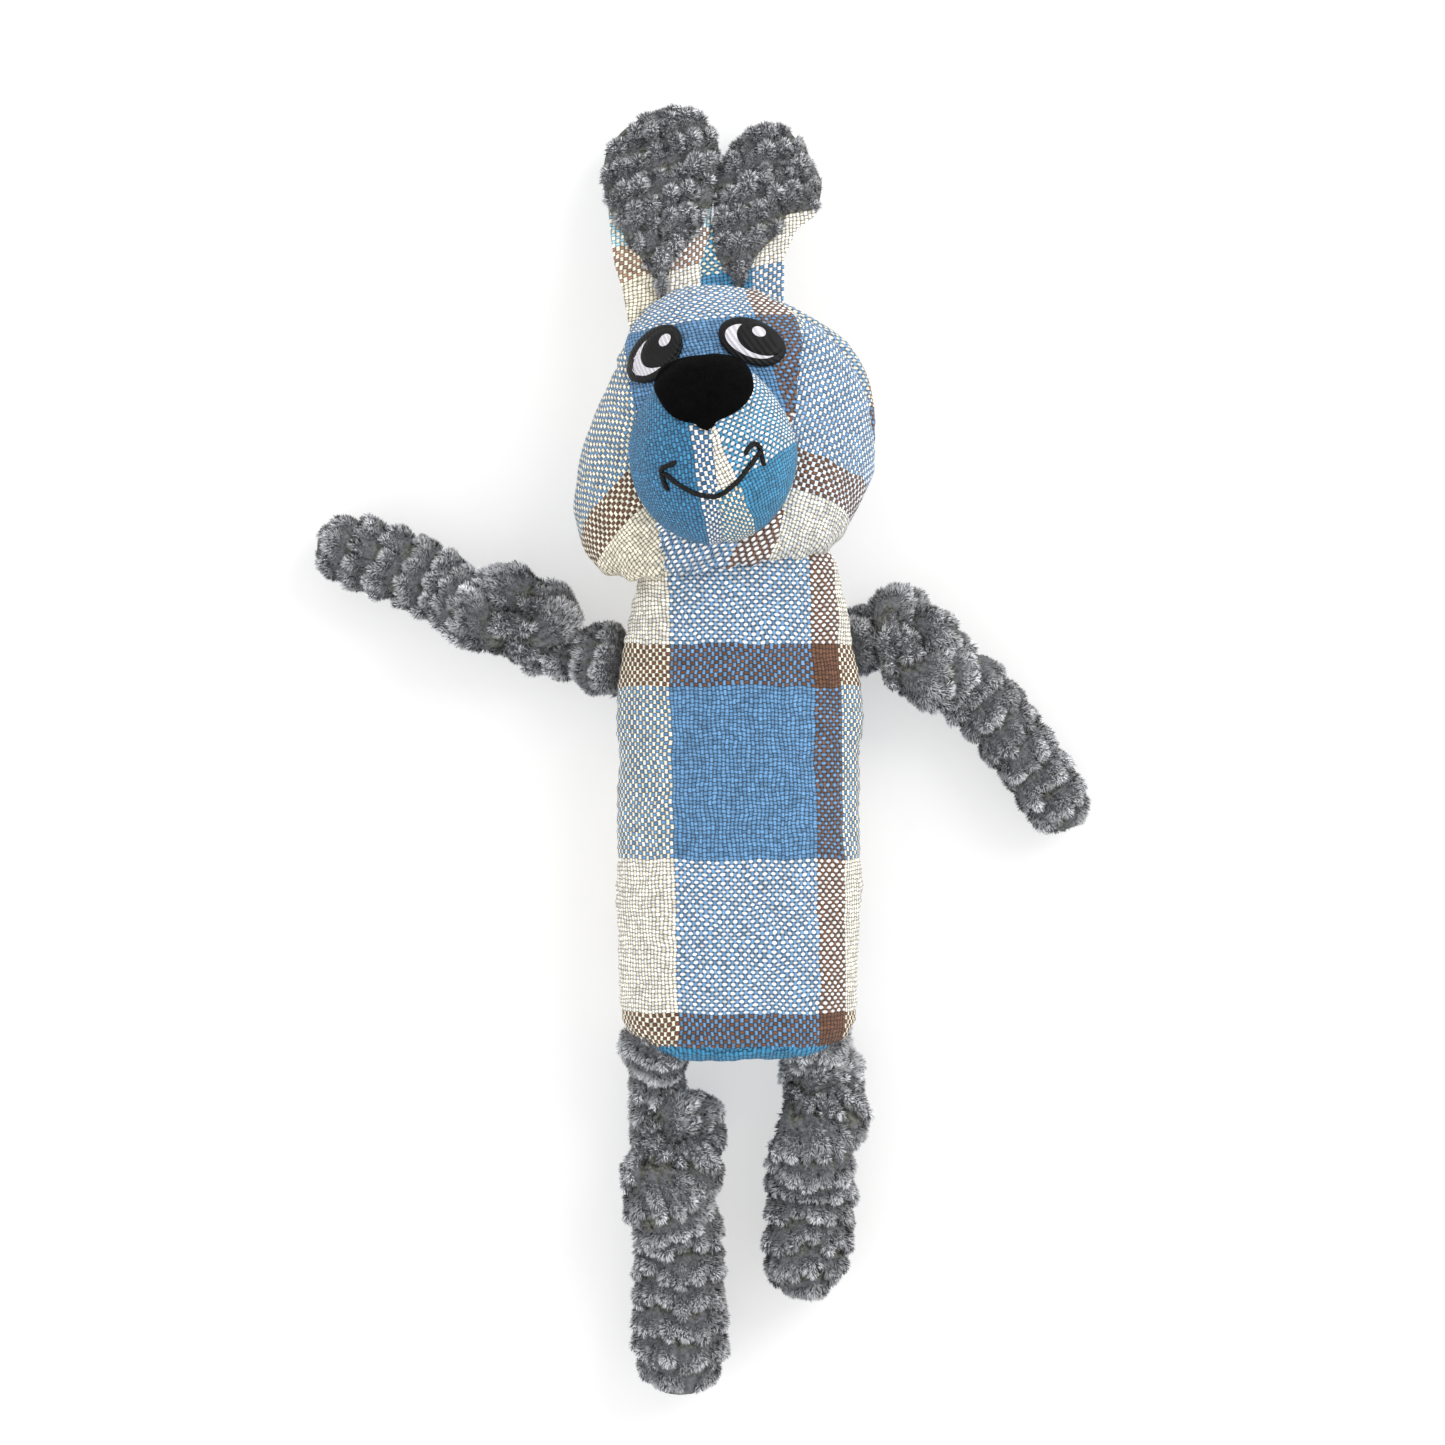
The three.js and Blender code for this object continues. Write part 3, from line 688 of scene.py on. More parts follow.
def satin_thread(name, code, ridge, rough):
    """Rayon embroidery thread in satin stitch: fine parallel ridges, smooth and silky, with painted shade in
    the grooves between the ridges.
    """
    m = new_material(name)
    place = add_node(m, "TexCoord")
    ridges = add_node(m, "TexWave",
                      {"Vector": place.outputs["Object"], "Scale": ridge, "Distortion": 1.2,
                       "Detail": 2.0, "Detail Scale": 3.0}, bands_direction="DIAGONAL")
    # painted shade: the thread colour is darker in the grooves between the ridges
    tone = add_node(m, "MapRange", {0: ridges.outputs[1], 3: 0.72, 4: 1.0})
    colour = add_node(m, "VectorMath", {0: linear(code)[:3], 3: tone}, operation="SCALE")
    bump = add_node(m, "Bump", {"Height": ridges.outputs[1], "Distance": 0.0003, "Strength": 0.8})
    return finish_material(m, {"Base Color": colour, "Roughness": rough, "Specular IOR Level": 0.3,
                               "Anisotropic": 0.4, "Normal": bump})


black_satin = satin_thread("rayon_thread_satin_stitch_black", "040405", 320.0, 0.6)
white_satin = satin_thread("rayon_thread_satin_stitch_white", "E4E1E8", 320.0, 0.5)

# cut pile swallows light: nearly black, with a faint grey bloom where clumps of pile turn away
black_velour = new_material("cotton_velour_short_pile_black")
place = add_node(black_velour, "TexCoord")
pile = add_node(black_velour, "TexNoise",
                {"Vector": place.outputs["Object"], "Scale": 1400.0, "Detail": 3.0})
clumps = add_node(black_velour, "TexNoise",
                  {"Vector": place.outputs["Object"], "Scale": 260.0, "Detail": 2.0})
mixed = add_node(black_velour, "Math", {0: pile, 1: clumps}, operation="MULTIPLY")
tone = add_node(black_velour, "Mix", {0: mixed, 6: linear("020202"), 7: linear("131315")}, data_type="RGBA")
bump = add_node(black_velour, "Bump", {"Height": mixed, "Distance": 0.0007})
finish_material(black_velour, {"Base Color": tone, "Roughness": 1.0, "Specular IOR Level": 0.05,
                               "Normal": bump})

# %% [markdown]
# ## Patches that lie on a curved cover
# A patch starts as a circle that is shaped to its outline. The rim is extruded inwards ring by ring
# and closed in the middle, so that it can bend, then the patch is dropped straight down on the cover
# and given its thickness with a rounded edge.

# %% Lay patches


def surface_above(cover):
    """A function that gives the height of the cover's top over (x, y), in metres; 30 mm where it has none."""
    tree = BVHTree.FromPolygons([v.co.copy() for v in cover.data.vertices],
                                [tuple(p.vertices) for p in cover.data.polygons])

    def drop(x, y):
        hit = tree.ray_cast(Vector((x, y, 0.3)), Vector((0, 0, -1)))
        return hit[0].z if hit[0] else 0.03

    return drop


def lay_patch(name, middle, outline, cover_height, lift, thick, rings=5):
    """outline(angle) gives the rim's (x, y) in mm round middle; the patch lies on cover_height."""
    deselect()
    bpy.ops.mesh.primitive_circle_add(vertices=56, radius=MM, fill_type="NOTHING")
    patch = bpy.context.object
    patch.name = name
    co = points(patch)
    rim = np.array([outline(a) for a in np.arctan2(co[:, 1], co[:, 0])]) * MM
    co[:, :2] = rim
    set_points(patch, co)
    edit_all()
    shares = [1.0, 0.95, 0.88] + list(np.linspace(0.78, 0.14, rings))
    for last, share in zip(shares, shares[1:]):
        bpy.ops.mesh.extrude_region_move()
        bpy.ops.transform.resize(value=(share / last, share / last, 1), center_override=(0, 0, 0))
    bpy.ops.mesh.merge(type="COLLAPSE")
    bpy.ops.object.mode_set(mode="OBJECT")
    co = points(patch)
    rim_angle = np.arctan2(rim[:, 1], rim[:, 0])
    order = np.argsort(rim_angle)
    reach = np.interp(np.arctan2(co[:, 1], co[:, 0]), rim_angle[order],
                      np.linalg.norm(rim, axis=1)[order], period=2 * math.pi)
    inward = 1 - np.clip(np.hypot(co[:, 0], co[:, 1]) / reach, 0, 1)
    co[:, 0] += middle[0] * MM
    co[:, 1] += middle[1] * MM
    round_edge = np.sqrt(np.clip(inward / 0.18, 0, 1))
    ground = np.array([cover_height(x, y) for x, y in co[:, :2]])
    top = co.copy()
    top[:, 2] = ground + (lift + thick * round_edge) * MM
    set_points(patch, top)
    apply_modifier(patch, "SOLIDIFY", thickness=(thick * 0.6 + 0.5) * MM, offset=-1.0)
    edit_all()
    bpy.ops.mesh.normals_make_consistent(inside=False)
    bpy.ops.object.mode_set(mode="OBJECT")
    bpy.ops.object.shade_smooth()
    return patch


def oval(length, width, degrees, power=2.0):
    """The rim of an oval whose long side is turned by degrees; a higher power squares it off."""
    a = math.radians(degrees)

    def rim(angle):
        c, s = math.cos(angle), math.sin(angle)
        r = (abs(c) ** power + abs(s) ** power) ** (-1 / power)
        x, y = length / 2 * c * r, width / 2 * s * r
        return x * math.cos(a) - y * math.sin(a), x * math.sin(a) + y * math.cos(a)

    return rim


def on_body(piece, body, slot, material, *nodes):
    piece.data.materials.clear()
    piece.data.materials.append(material)
    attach(piece, body)
    if nodes:
        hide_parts(*nodes)
    return piece


def joined(first, *others):
    activate(first)
    for piece in others:
        piece.select_set(True)
    bpy.ops.object.join()
    return first


face_height = surface_above(head)
muzzle_height = surface_above(muzzle)

# places and sizes in mm; pupil and glint are counted from the middle
EYES = {
    "left": {"middle": (-25.5, 140.3), "tilt": 50, "size": (19.6, 12.8),
             "pupil": (1.7, 1.4), "glint": (3.2, 3.9)},
    "right": {"middle": (3.8, 143.4), "tilt": -24, "size": (20.2, 12.6),
              "pupil": (2.2, 0.6), "glint": (2.0, 2.8)},
}
for side, eye in EYES.items():
    (x, y), (length, width), tilt = eye["middle"], eye["size"], eye["tilt"]
    patch = lay_patch(side + "_eye_outline", (x, y), oval(length, width, tilt), face_height, 0.2, 0.7)
    white = lay_patch(side + "_eye_crescent", (x - 0.2, y - 0.2), oval(length - 3.2, width - 3.0, tilt),
                      face_height, 0.75, 0.5)
    px, py = eye["pupil"]
    pupil = lay_patch(side + "_eye_pupil", (x + px, y + py), oval(length - 6.2, width - 3.6, tilt),
                      face_height, 1.15, 0.55)
    gx, gy = eye["glint"]
    glint = lay_patch(side + "_eye_glint_dot", (x + gx, y + gy), oval(4.0, 2.8, tilt), face_height, 1.6, 0.4, 3)
    on_body(joined(patch, pupil), "head", "black_thread", black_satin, side + "_eye_patch")
    on_body(white, "head", "white_thread", white_satin, side + "_eye_white")
    on_body(glint, "head", "white_thread", white_satin, side + "_eye_glint")
print("eyes:", len(EYES))


BROW = 72  # how high the nose patch's upper edge lies, in mm


def nose_rim(angle):
    """A wide rounded trapezoid with a short tip at its bottom."""
    x, y = oval(27.3, 19.2, 6, 3.0)(angle)
    tip = math.exp(-((math.degrees(math.atan2(x - 1.0, -y)) / 16) ** 2)) if y < 0 else 0
    narrow = 1 - 0.26 * max(0.0, -y / 9.2)
    return x * narrow, y - 3.0 * tip


def nose_bed(x, y):
    """The muzzle's surface, but no lower than the patch hangs down at the brow."""
    return max(muzzle_height(x, y), BROW * MM)


nose = lay_patch("nose_velour_patch", (-10.6, 127.0), nose_rim, nose_bed, 0.2, 1.3, 7)
on_body(nose, "head", "black_plush", black_velour, "nose_patch")

# %% [markdown]
# ## The stitched smile
# The mouth is a line of heavy thread, stitched as a rope: each stitch is a short slanted bead that
# overlaps the next. One bead is modelled, then copied along the line with its own small turn.

# %% Smile
SMILE = [(-21.7, 101.6), (-17.4, 98.2), (-12.2, 95.6), (-6.6, 95.2), (-1.2, 98.8), (2.4, 103.2),
         (5.7, 107.6)]
TICKS = [[(-19.4, 104.6), (-22.9, 103.2), (-22.6, 100.6), (-21.6, 97.8)],
         [(1.9, 108.0), (3.6, 110.0), (5.6, 109.6), (6.8, 105.0)]]


def along_line(knots, step):
    """Evenly spaced points on a smooth line through the knots."""
    knots = np.array(knots, float)
    count = len(knots)
    t = np.linspace(0, count - 1, 400)
    padded = np.vstack([2 * knots[0] - knots[1], knots, 2 * knots[-1] - knots[-2]])
    i = np.clip(t.astype(int), 0, count - 2)
    f = (t - i)[:, None]
    p0, p1, p2, p3 = (padded[i + k] for k in range(4))
    fine = 0.5 * (2 * p1 + (p2 - p0) * f + (2 * p0 - 5 * p1 + 4 * p2 - p3) * f**2
                  + (3 * p1 - p0 - 3 * p2 + p3) * f**3)
    length = np.concatenate([[0], np.cumsum(np.linalg.norm(np.diff(fine, axis=0), axis=1))])
    places = np.linspace(0, length[-1], max(2, int(round(length[-1] / step)) + 1))
    return np.stack([np.interp(places, length, fine[:, k]) for k in range(fine.shape[1])], axis=1)


beads = []
for line in [SMILE] + TICKS:
    spots = along_line(line, 1.0)
    ways = np.gradient(spots, axis=0)
    for (x, y), (dx, dy) in zip(spots, ways):
        deselect()
        z = muzzle_height(x * MM, y * MM) / MM + 0.35
        turn = math.atan2(dy, dx) + math.radians(24)
        bpy.ops.mesh.primitive_uv_sphere_add(segments=8, ring_count=6, radius=MM,
                                             location=(x * MM, y * MM, z * MM),
                                             scale=(1.3, 0.72, 0.72), rotation=(0, 0, turn))
        bpy.ops.object.transform_apply(location=True, rotation=True, scale=True)
        bpy.ops.object.shade_smooth()
        beads.append(bpy.context.object)
smile = joined(*beads)
smile.name = "smile_stitching"
on_body(smile, "head", "black_thread", black_satin, "mouth_stitching")
print("stitches in the smile:", len(beads))

# %% [markdown]
# ## Chunky corduroy plush
# The ears and limbs are a knitted backing with thick ribs of cut chenille. The ribs run round each
# limb about 8.9 mm apart, and each rib is broken into tufts about 5.6 mm wide with rounded ends that
# lie toward the tip. Between the ribs the dark olive backing shows. The skin is shaped tuft by tuft,
# and then thousands of short blades stand on it as pile: dark at the root, light at the tip. A blade
# is a single triangle, because there are so many, and it takes the normal of the skin under it, so
# that the tufts catch the light as soft rounded lumps.

# %% Plush materials
# knitted ground: small round stitches, olive grey and dark, that turn to soft fluff where pile rises
plush_backing = new_material("knitted_polyester_backing_olive_grey")
place = add_node(plush_backing, "TexCoord")
stitches = add_node(plush_backing, "TexVoronoi", {"Vector": place.outputs["Object"], "Scale": 900.0})
lobes = add_node(plush_backing, "TexNoise",
                 {"Vector": place.outputs["Object"], "Scale": 900.0, "Detail": 3.0})
rise_of_pile = add_node(plush_backing, "Attribute", attribute_name="pile")
knit = add_node(plush_backing, "Mix", {0: stitches, 6: linear("83847B"), 7: linear("232422")},
                data_type="RGBA")
fluff = add_node(plush_backing, "Mix", {0: lobes, 6: linear("3A3B3F"), 7: linear("8C8D92")},
                 data_type="RGBA")
edge = add_node(plush_backing, "MapRange", {0: rise_of_pile.outputs["Fac"], 1: 0.05, 2: 0.3})
skin_colour = add_node(plush_backing, "Mix", {0: edge, 6: knit, 7: fluff}, data_type="RGBA")
bump = add_node(plush_backing, "Bump", {"Height": lobes, "Distance": 0.0008})
finish_material(plush_backing, {"Base Color": skin_colour, "Roughness": 1.0, "Specular IOR Level": 0.1,
                                "Normal": bump})

# cut chenille: matt fibres, dark at the root and light at the tip, each floret in a tone of its own;
# painted shade darkens the blades in the creases between ribs and tufts and round each floret's rim
plush_pile = new_material("cut_chenille_pile_grey_polyester")
tip = add_node(plush_pile, "Attribute", attribute_name="tip")
shade_of = add_node(plush_pile, "Attribute", attribute_name="shade")
from_root = add_node(plush_pile, "Mix",
                     {0: tip.outputs["Fac"], 6: linear("8A8B8F"), 7: linear("D9DADD")}, data_type="RGBA")
tone_and_painted_shade = add_node(plush_pile, "MapRange", {0: shade_of.outputs["Fac"], 3: 0.12, 4: 2.35})
pile_colour = add_node(plush_pile, "VectorMath", {0: from_root, 3: tone_and_painted_shade}, operation="SCALE")
finish_material(plush_pile, {"Base Color": pile_colour, "Roughness": 0.85, "Specular IOR Level": 0.15,
                             "Sheen Weight": 0.25})

# %% Tufts and blades
RIB = 8.9
TUFT = 5.6


def tufts(s, around, circumference, seed, ribs=RIB):
    """How high the pile is and how light it is painted, about 0 to 1, at s mm along and a share around of the
    way round. The lightness is painted shade, dark in the creases between ribs and tufts, with a random tone
    for each tuft.
    """
    dice = np.random.default_rng(seed)
    table = dice.uniform(0, 1, (64, 64))
    number = max(3, int(round(circumference / TUFT)))
    wave = (0.2 * np.sin(2 * math.pi * around + seed + s / 45)
            + 0.1 * np.sin(4 * math.pi * around + 2 * seed - s / 30)
            + 0.06 * np.sin(10 * math.pi * around + 3 * seed + s / 9))
    rib = s / ribs + wave
    k = np.floor(rib).astype(int)
    q = around * number + table[k % 64, 0] + 0.5 * (k % 2)
    m = np.floor(q).astype(int)
    side = (q - m - 0.5) * 2
    own = table[k % 64, (m % number) % 64]
    other = table[(m % number) % 64, k % 64]
    run = rib - k
    parted = np.clip(np.sin(7 * math.pi * around + 1.7 * s / ribs + 3 * seed) - 0.55, 0, 1)
    end = 0.9 + 0.22 * (other - 0.5) - 0.26 * np.abs(side) ** 2.2 - 0.45 * parted
    rise = np.clip(run / end, 0, 1)
    drop = np.clip((end + 0.09 - run) / 0.09, 0, 1)
    across = np.clip(1 - (0.5 + 0.4 * other) * np.abs(side) ** 2.6, 0, 1)
    height = (0.62 + 0.5 * own) * (0.16 + 0.84 * rise**0.75) * drop * across
    # painted shade: dark at each rib's start, past each tuft's end and at its sides, where the creases lie; own
    # adds a random tone per tuft
    tone = (0.12 + 0.88 * rise**1.1) * drop * (0.4 + 0.6 * across) * (0.72 + 0.4 * own)
    return height, tone


def new_object(name, mesh):
    form = bpy.data.objects.new(name, mesh)
    scene.collection.objects.link(form)
    return form


def grid_mesh(name, grid, wrap, material):
    """A mesh from a grid of points (rows, columns, 3) in mm; wrap joins the last column to the first."""
    rows, columns = grid.shape[:2]
    index = np.arange(rows * columns).reshape(rows, columns)
    if wrap:
        index = np.concatenate([index, index[:, :1]], axis=1)
    quads = np.stack([index[:-1, :-1], index[:-1, 1:], index[1:, 1:], index[1:, :-1]], axis=-1).reshape(-1, 4)
    faces = quads.tolist()
    if wrap:
        faces += [index[0, :-1][::-1].tolist(), index[-1, :-1].tolist()]
    mesh = bpy.data.meshes.new(name)
    mesh.from_pydata((grid.reshape(-1, 3) * MM).tolist(), [], faces)
    mesh.materials.append(material)
    mesh.polygons.foreach_set("use_smooth", np.ones(len(mesh.polygons), bool))
    mesh.update()
    return new_object(name, mesh)


def grid_normals(grid, wrap):
    if wrap:
        wide = np.concatenate([grid[:, -1:], grid, grid[:, :1]], axis=1)
        across = (wide[:, 2:] - wide[:, :-2]) / 2
    else:
        across = np.gradient(grid, axis=1)
    down = np.gradient(grid, axis=0)
    return unit_rows(np.cross(across, down))


FLORET = 2.2  # how far the pile of one floret reaches from its middle, in mm
FLORET_AREA = 10  # how much skin one floret covers, in mm2
BLADE = 1.4  # how long the longest blades are, in mm, give or take a tenth
BLADE_HALF_WIDTH = 0.26
BURIED = 3.4  # roots that are deeper than this in a sleeve carry no blade, in mm


def florets(roots, count, seed):
    """Chenille stands in little florets: each root's way from its floret's middle, and the floret's tone."""
    dice = np.random.default_rng(seed)
    middles = dice.choice(len(roots), min(count, len(roots)), replace=False)
    tree = KDTree(len(middles))
    for number, k in enumerate(middles):
        tree.insert(roots[k], number)
    tree.balance()
    nearest = np.array([tree.find(spot)[1] for spot in roots])
    return (roots - roots[middles][nearest]) / FLORET, dice.uniform(0, 1, len(middles))[nearest]


def pile_on(name, grid, tufted, wrap, per_mm2, seed, lay, buried=None):
    """Blades on a grid of skin, leaning by lay toward its end. buried(points) says which are left out."""
    dice = np.random.default_rng(seed)
    full = np.concatenate([grid, grid[:, :1]], axis=1) if wrap else grid
    pile, tone = ([np.concatenate([layer, layer[:, :1]], axis=1) for layer in tufted] if wrap else tufted)
    n = grid_normals(grid, wrap)
    full_n = np.concatenate([n, n[:, :1]], axis=1) if wrap else n
    down = unit_rows(np.gradient(full, axis=0))
    edge_u = full[:-1, 1:] - full[:-1, :-1]
    edge_v = full[1:, :-1] - full[:-1, :-1]
    area = np.linalg.norm(np.cross(edge_u, edge_v), axis=-1)
    weight = area * np.clip(pile[:-1, :-1] * 3 - 0.35, 0.01, 1)
    total = int(weight.sum() * per_mm2)
    cell = dice.choice(weight.size, total, p=(weight / weight.sum()).ravel())
    i, j = np.unravel_index(cell, weight.shape)
    a, b = dice.uniform(0, 1, (2, total, 1))

    def at(values):
        return ((values[i, j] * (1 - a) + values[i, j + 1] * a) * (1 - b)
                + (values[i + 1, j] * (1 - a) + values[i + 1, j + 1] * a) * b)

    root, out, way = at(full), at(full_n), at(down)
    light = at(tone[..., None])[:, 0]
    if buried is not None:
        keep = ~buried(root)
        root, out, way, light = root[keep], out[keep], way[keep], light[keep]
        total = len(root)
    out = unit_rows(out)
    away, own = florets(root, int(total / per_mm2 / FLORET_AREA), seed)
    away -= out * np.sum(away * out, axis=1, keepdims=True)
    far = np.linalg.norm(away, axis=1, keepdims=True)
    away /= np.maximum(far, 1)
    crown = np.exp(-1.1 * far**2)
    root = root + out * (0.9 * crown - 0.2)
    root[:, 2] = np.maximum(root[:, 2], 0.5)
    # painted shade: blades at a floret's rim, in the creases between florets, are darker than at its middle
    light = light * (0.5 + 0.5 * crown[:, 0]) * (0.85 + 0.3 * own)
    aim = unit_rows(out * (0.7 + 0.4 * crown) + lay * way + 0.6 * away + 0.17 * dice.normal(size=(total, 3)))
    long = BLADE * dice.uniform(0.55, 1.1, (total, 1))
    broad = unit_rows(np.cross(aim, dice.normal(size=(total, 3))))
    flip = np.sign(np.sum(np.cross(broad, aim) * out, axis=1, keepdims=True))
    broad *= np.where(flip == 0, 1, flip) * BLADE_HALF_WIDTH
    corners_of = np.stack([root - broad - 0.3 * out, root + broad - 0.3 * out, root + aim * long], axis=1)
    corners_of[..., 2] = np.maximum(corners_of[..., 2], 0.1)
    mesh = bpy.data.meshes.new(name)
    mesh.vertices.add(total * 3)
    mesh.vertices.foreach_set("co", (corners_of * MM).ravel())
    mesh.loops.add(total * 3)
    mesh.loops.foreach_set("vertex_index", np.arange(total * 3))
    mesh.polygons.add(total)
    mesh.polygons.foreach_set("loop_start", np.arange(0, total * 3, 3))
    mesh.polygons.foreach_set("loop_total", np.full(total, 3))
    mesh.polygons.foreach_set("use_smooth", np.ones(total, bool))
    mesh.update()
    soft = unit_rows(out + 0.8 * away + 0.25 * dice.normal(size=(total, 3)))
    mesh.normals_split_custom_set_from_vertices(np.repeat(soft, 3, axis=0))
    mesh.attributes.new("tip", "FLOAT", "POINT").data.foreach_set("value", np.tile([0.0, 0.0, 1.0], total))
    mesh.attributes.new("shade", "FLOAT", "POINT").data.foreach_set(
        "value", np.repeat(np.clip(light * (1 + 0.13 * dice.normal(size=total)), 0, 1), 3))
    mesh.materials.append(plush_pile)
    return new_object(name, mesh)


def plush_skin(name, grid, pile, wrap):
    form = grid_mesh(name, grid, wrap, plush_backing)
    form.data.attributes.new("pile", "FLOAT", "POINT").data.foreach_set("value", pile.ravel())
    return form


# %% [markdown]
# ## Limbs tied in overhand knots
# Each limb is one lightly stuffed sleeve. It leaves a gathered seam, runs through an overhand knot and
# ends in a rounded tip. An opened trefoil is the middle line of an overhand knot, so the sleeve's line
# runs from the seam into a trefoil and out again to the tip. The filling is squeezed out of the knot,
# so the sleeve is thinner there. The limb is split in two inside the knot, where nobody sees it.

# %% Build the limbs
# in mm: the sleeve's ends and its knot, the points it passes after the knot, its radius beyond the knot
# and where it is gathered, the trefoil's size; flip and turn say how the knot lies
LIMBS = {
    "left_arm": {"root": (-34, 47, 17), "knot": (-70.5, 58.5, 15), "tip": (-133, 86, 11.4),
                 "way": [(-91, 70, 14), (-111, 79.5, 12.4)], "sleeve": 11.4, "flare": 12.4,
                 "size": 3.9, "flip": -1, "turn": 0, "seed": 11},
    "right_arm": {"root": (31, 51, 17), "knot": (51.5, 52.5, 15), "tip": (106, -4, 11.2),
                  "way": [(72, 41, 14), (90.5, 18, 12.2)], "sleeve": 11.0, "flare": 11.4,
                  "size": 3.7, "flip": 1, "turn": -10, "seed": 23},
    "left_leg": {"root": (-25, -65, 29), "knot": (-23, -105, 16), "tip": (-18.5, -183, 14.2),
                 "way": [(-19.5, -130, 15.5), (-18.5, -155, 14.6)], "sleeve": 14.4, "flare": 11.2,
                 "size": 4.1, "flip": 1, "turn": 0, "seed": 37},
    "right_leg": {"root": (25.5, -65, 29), "knot": (23, -90, 15.6), "tip": (20.5, -153, 13.4),
                  "way": [(23, -117, 14.4), (21.5, -136, 13.8)], "sleeve": 13.6, "flare": 12,
                  "size": 3.7, "flip": 1, "turn": 8, "seed": 41},
}


def knot_line(limb):
    """Points of the sleeve's middle line from the root through the knot to the tip, in mm."""
    root, knot, tip = (np.array(limb[k], float) for k in ("root", "knot", "tip"))
    ahead = tip - root
    ahead[2] = 0
    ahead /= np.linalg.norm(ahead)
    a = math.radians(limb["turn"])
    ahead = np.array([ahead[0] * math.cos(a) - ahead[1] * math.sin(a),
                      ahead[0] * math.sin(a) + ahead[1] * math.cos(a), 0])
    aside = np.array([-ahead[1], ahead[0], 0]) * limb["flip"]
    t = np.linspace(3 * math.pi - 0.62, math.pi + 0.62, 26)
    x = np.sin(t) + 2 * np.sin(2 * t)
    y = np.cos(t) - 2 * np.cos(2 * t)
    z = -np.sin(3 * t)
    size = limb["size"]
    ring = knot + size * (x[:, None] * ahead + (y[:, None] + 0.7) * aside * 0.95)
    ring[:, 2] += 6.4 * z
    start, end = ring[0], ring[-1]
    lead_in = [root, root * 0.45 + (start - 5 * ahead) * 0.55]
    lead_out = [end + 7 * ahead + 1.5 * aside] + [np.array(p, float) for p in limb["way"]] + [tip]
    return np.vstack([lead_in, ring, lead_out]), len(lead_in), len(lead_in) + len(ring)


def sleeve_grid(limb, step=1.15, columns=72):
    """The sleeve's middle line, its lengths and radii, its skin, its tufts, and how far along it is split."""
    line, first, last = knot_line(limb)
    path = along_line(line, step)
    s = np.concatenate([[0], np.cumsum(np.linalg.norm(np.diff(path, axis=0), axis=1))])
    total = s[-1]
    reach = np.array([np.argmin(np.linalg.norm(path - line[k], axis=1)) for k in (first, last - 1)])
    enter, leave = s[reach[0]], s[reach[1]]
    full = limb["sleeve"]
    radius = np.interp(s, [0, 6, 12, 17, enter + 4, leave - 6, leave + 10, total],
                       [8, limb["flare"], limb["flare"], 8.4, 7.9, 8.1, full, full])
    left_to_tip = total - s
    cap = full * 1.1
    dome = np.sqrt(np.clip(1 - np.clip((cap - left_to_tip) / cap, 0, 1) ** 2, 0.0, 1))
    radius = np.maximum(radius * dome, 0.6)
    tangent = unit_rows(np.gradient(path, axis=0))
    side = np.cross(tangent[0], [0, 0, 1.0])
    side /= np.linalg.norm(side)
    sides = []
    for t in tangent:
        side = side - t * (side @ t)
        side /= np.linalg.norm(side)
        sides.append(side)
    sides = np.array(sides)
    ups = np.cross(tangent, sides)
    around = np.arange(columns) / columns
    angle = 2 * math.pi * around
    pile, tone = tufts(s[:, None] + 0 * around, around[None, :] + 0 * s[:, None], 2 * math.pi * full * 0.9,
                       limb["seed"])
    lump = 0.5 * np.sin(s[:, None] / 13 + 2 * angle + limb["seed"]) + 0.35 * np.sin(s[:, None] / 7 - 3 * angle)
    near_end = np.clip(left_to_tip / 5, 0.25, 1)[:, None]
    r = (radius[:, None] - 2.8 * near_end) + (lump + 3.3 * pile) * near_end
    r = np.maximum(r, 0.3)
    ring = sides[:, None, :] * np.cos(angle)[None, :, None] + ups[:, None, :] * np.sin(angle)[None, :, None]
    grid = path[:, None, :] + ring * r[..., None]
    grid[..., 2] = np.maximum(grid[..., 2], 0.3)
    return path, s, radius, grid, (pile, tone), (enter + leave) / 2


limb_faces = 0
for limb_name, limb in LIMBS.items():
    path, s, radius, grid, (pile, tone), middle_s = sleeve_grid(limb)

    def buried(spots):
        """Which roots lie well inside the sleeve, where two strands of a knot press together."""
        hidden = np.zeros(len(spots), bool)
        for k in range(0, len(path), 2):
            hidden |= np.linalg.norm(spots - path[k], axis=1) < radius[k] - BURIED
        return hidden

    split = int(np.searchsorted(s, middle_s))
    root, knot, tip = (Vector(limb[k]) for k in ("root", "knot", "tip"))
    way = (tip - knot).normalized()
    root_way = (knot - root).normalized()
    seam = Vector(LIMB_ROOTS[limb_name])
    parts = [("root", slice(0, split + 1), limb_name + "_seam", limb_name + "_upper",
              seam - 5 * root_way, seam + 7 * root_way,
              [limb_name + "_seam_gather", limb_name + "_knot", limb_name + "_upper_sleeve"]),
             ("end", slice(split, len(path)), limb_name + "_upper", limb_name + "_lower",
              knot + 2 * way, knot + 17 * way,
              [limb_name + "_lower_sleeve", limb_name + "_lower_filling"])]
    for part, rows, body_a, body_b, start, end, nodes in parts:
        skin = plush_skin(f"{limb_name}_{part}_sleeve", grid[rows], pile[rows], True)
        fur = pile_on(f"{limb_name}_{part}_pile", grid[rows], (pile[rows], tone[rows]), True, 8.0,
                      limb["seed"] + rows.start, 0.6, buried)
        for piece in (skin, fur):
            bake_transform(piece)
        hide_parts(*[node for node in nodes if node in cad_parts])
        limb_faces += len(skin.data.polygons) + len(fur.data.polygons)
print("limb faces:", limb_faces)

# %% [markdown]
# ## The ears
# Each ear is a flat paddle: plush on the front and plaid on the back. At its root the paddle is folded,
# so the plaid wraps round from both sides and the plush narrows to a point. The plaid body is a thin
# pillow that is cupped towards its root, and the plush lies on its front.

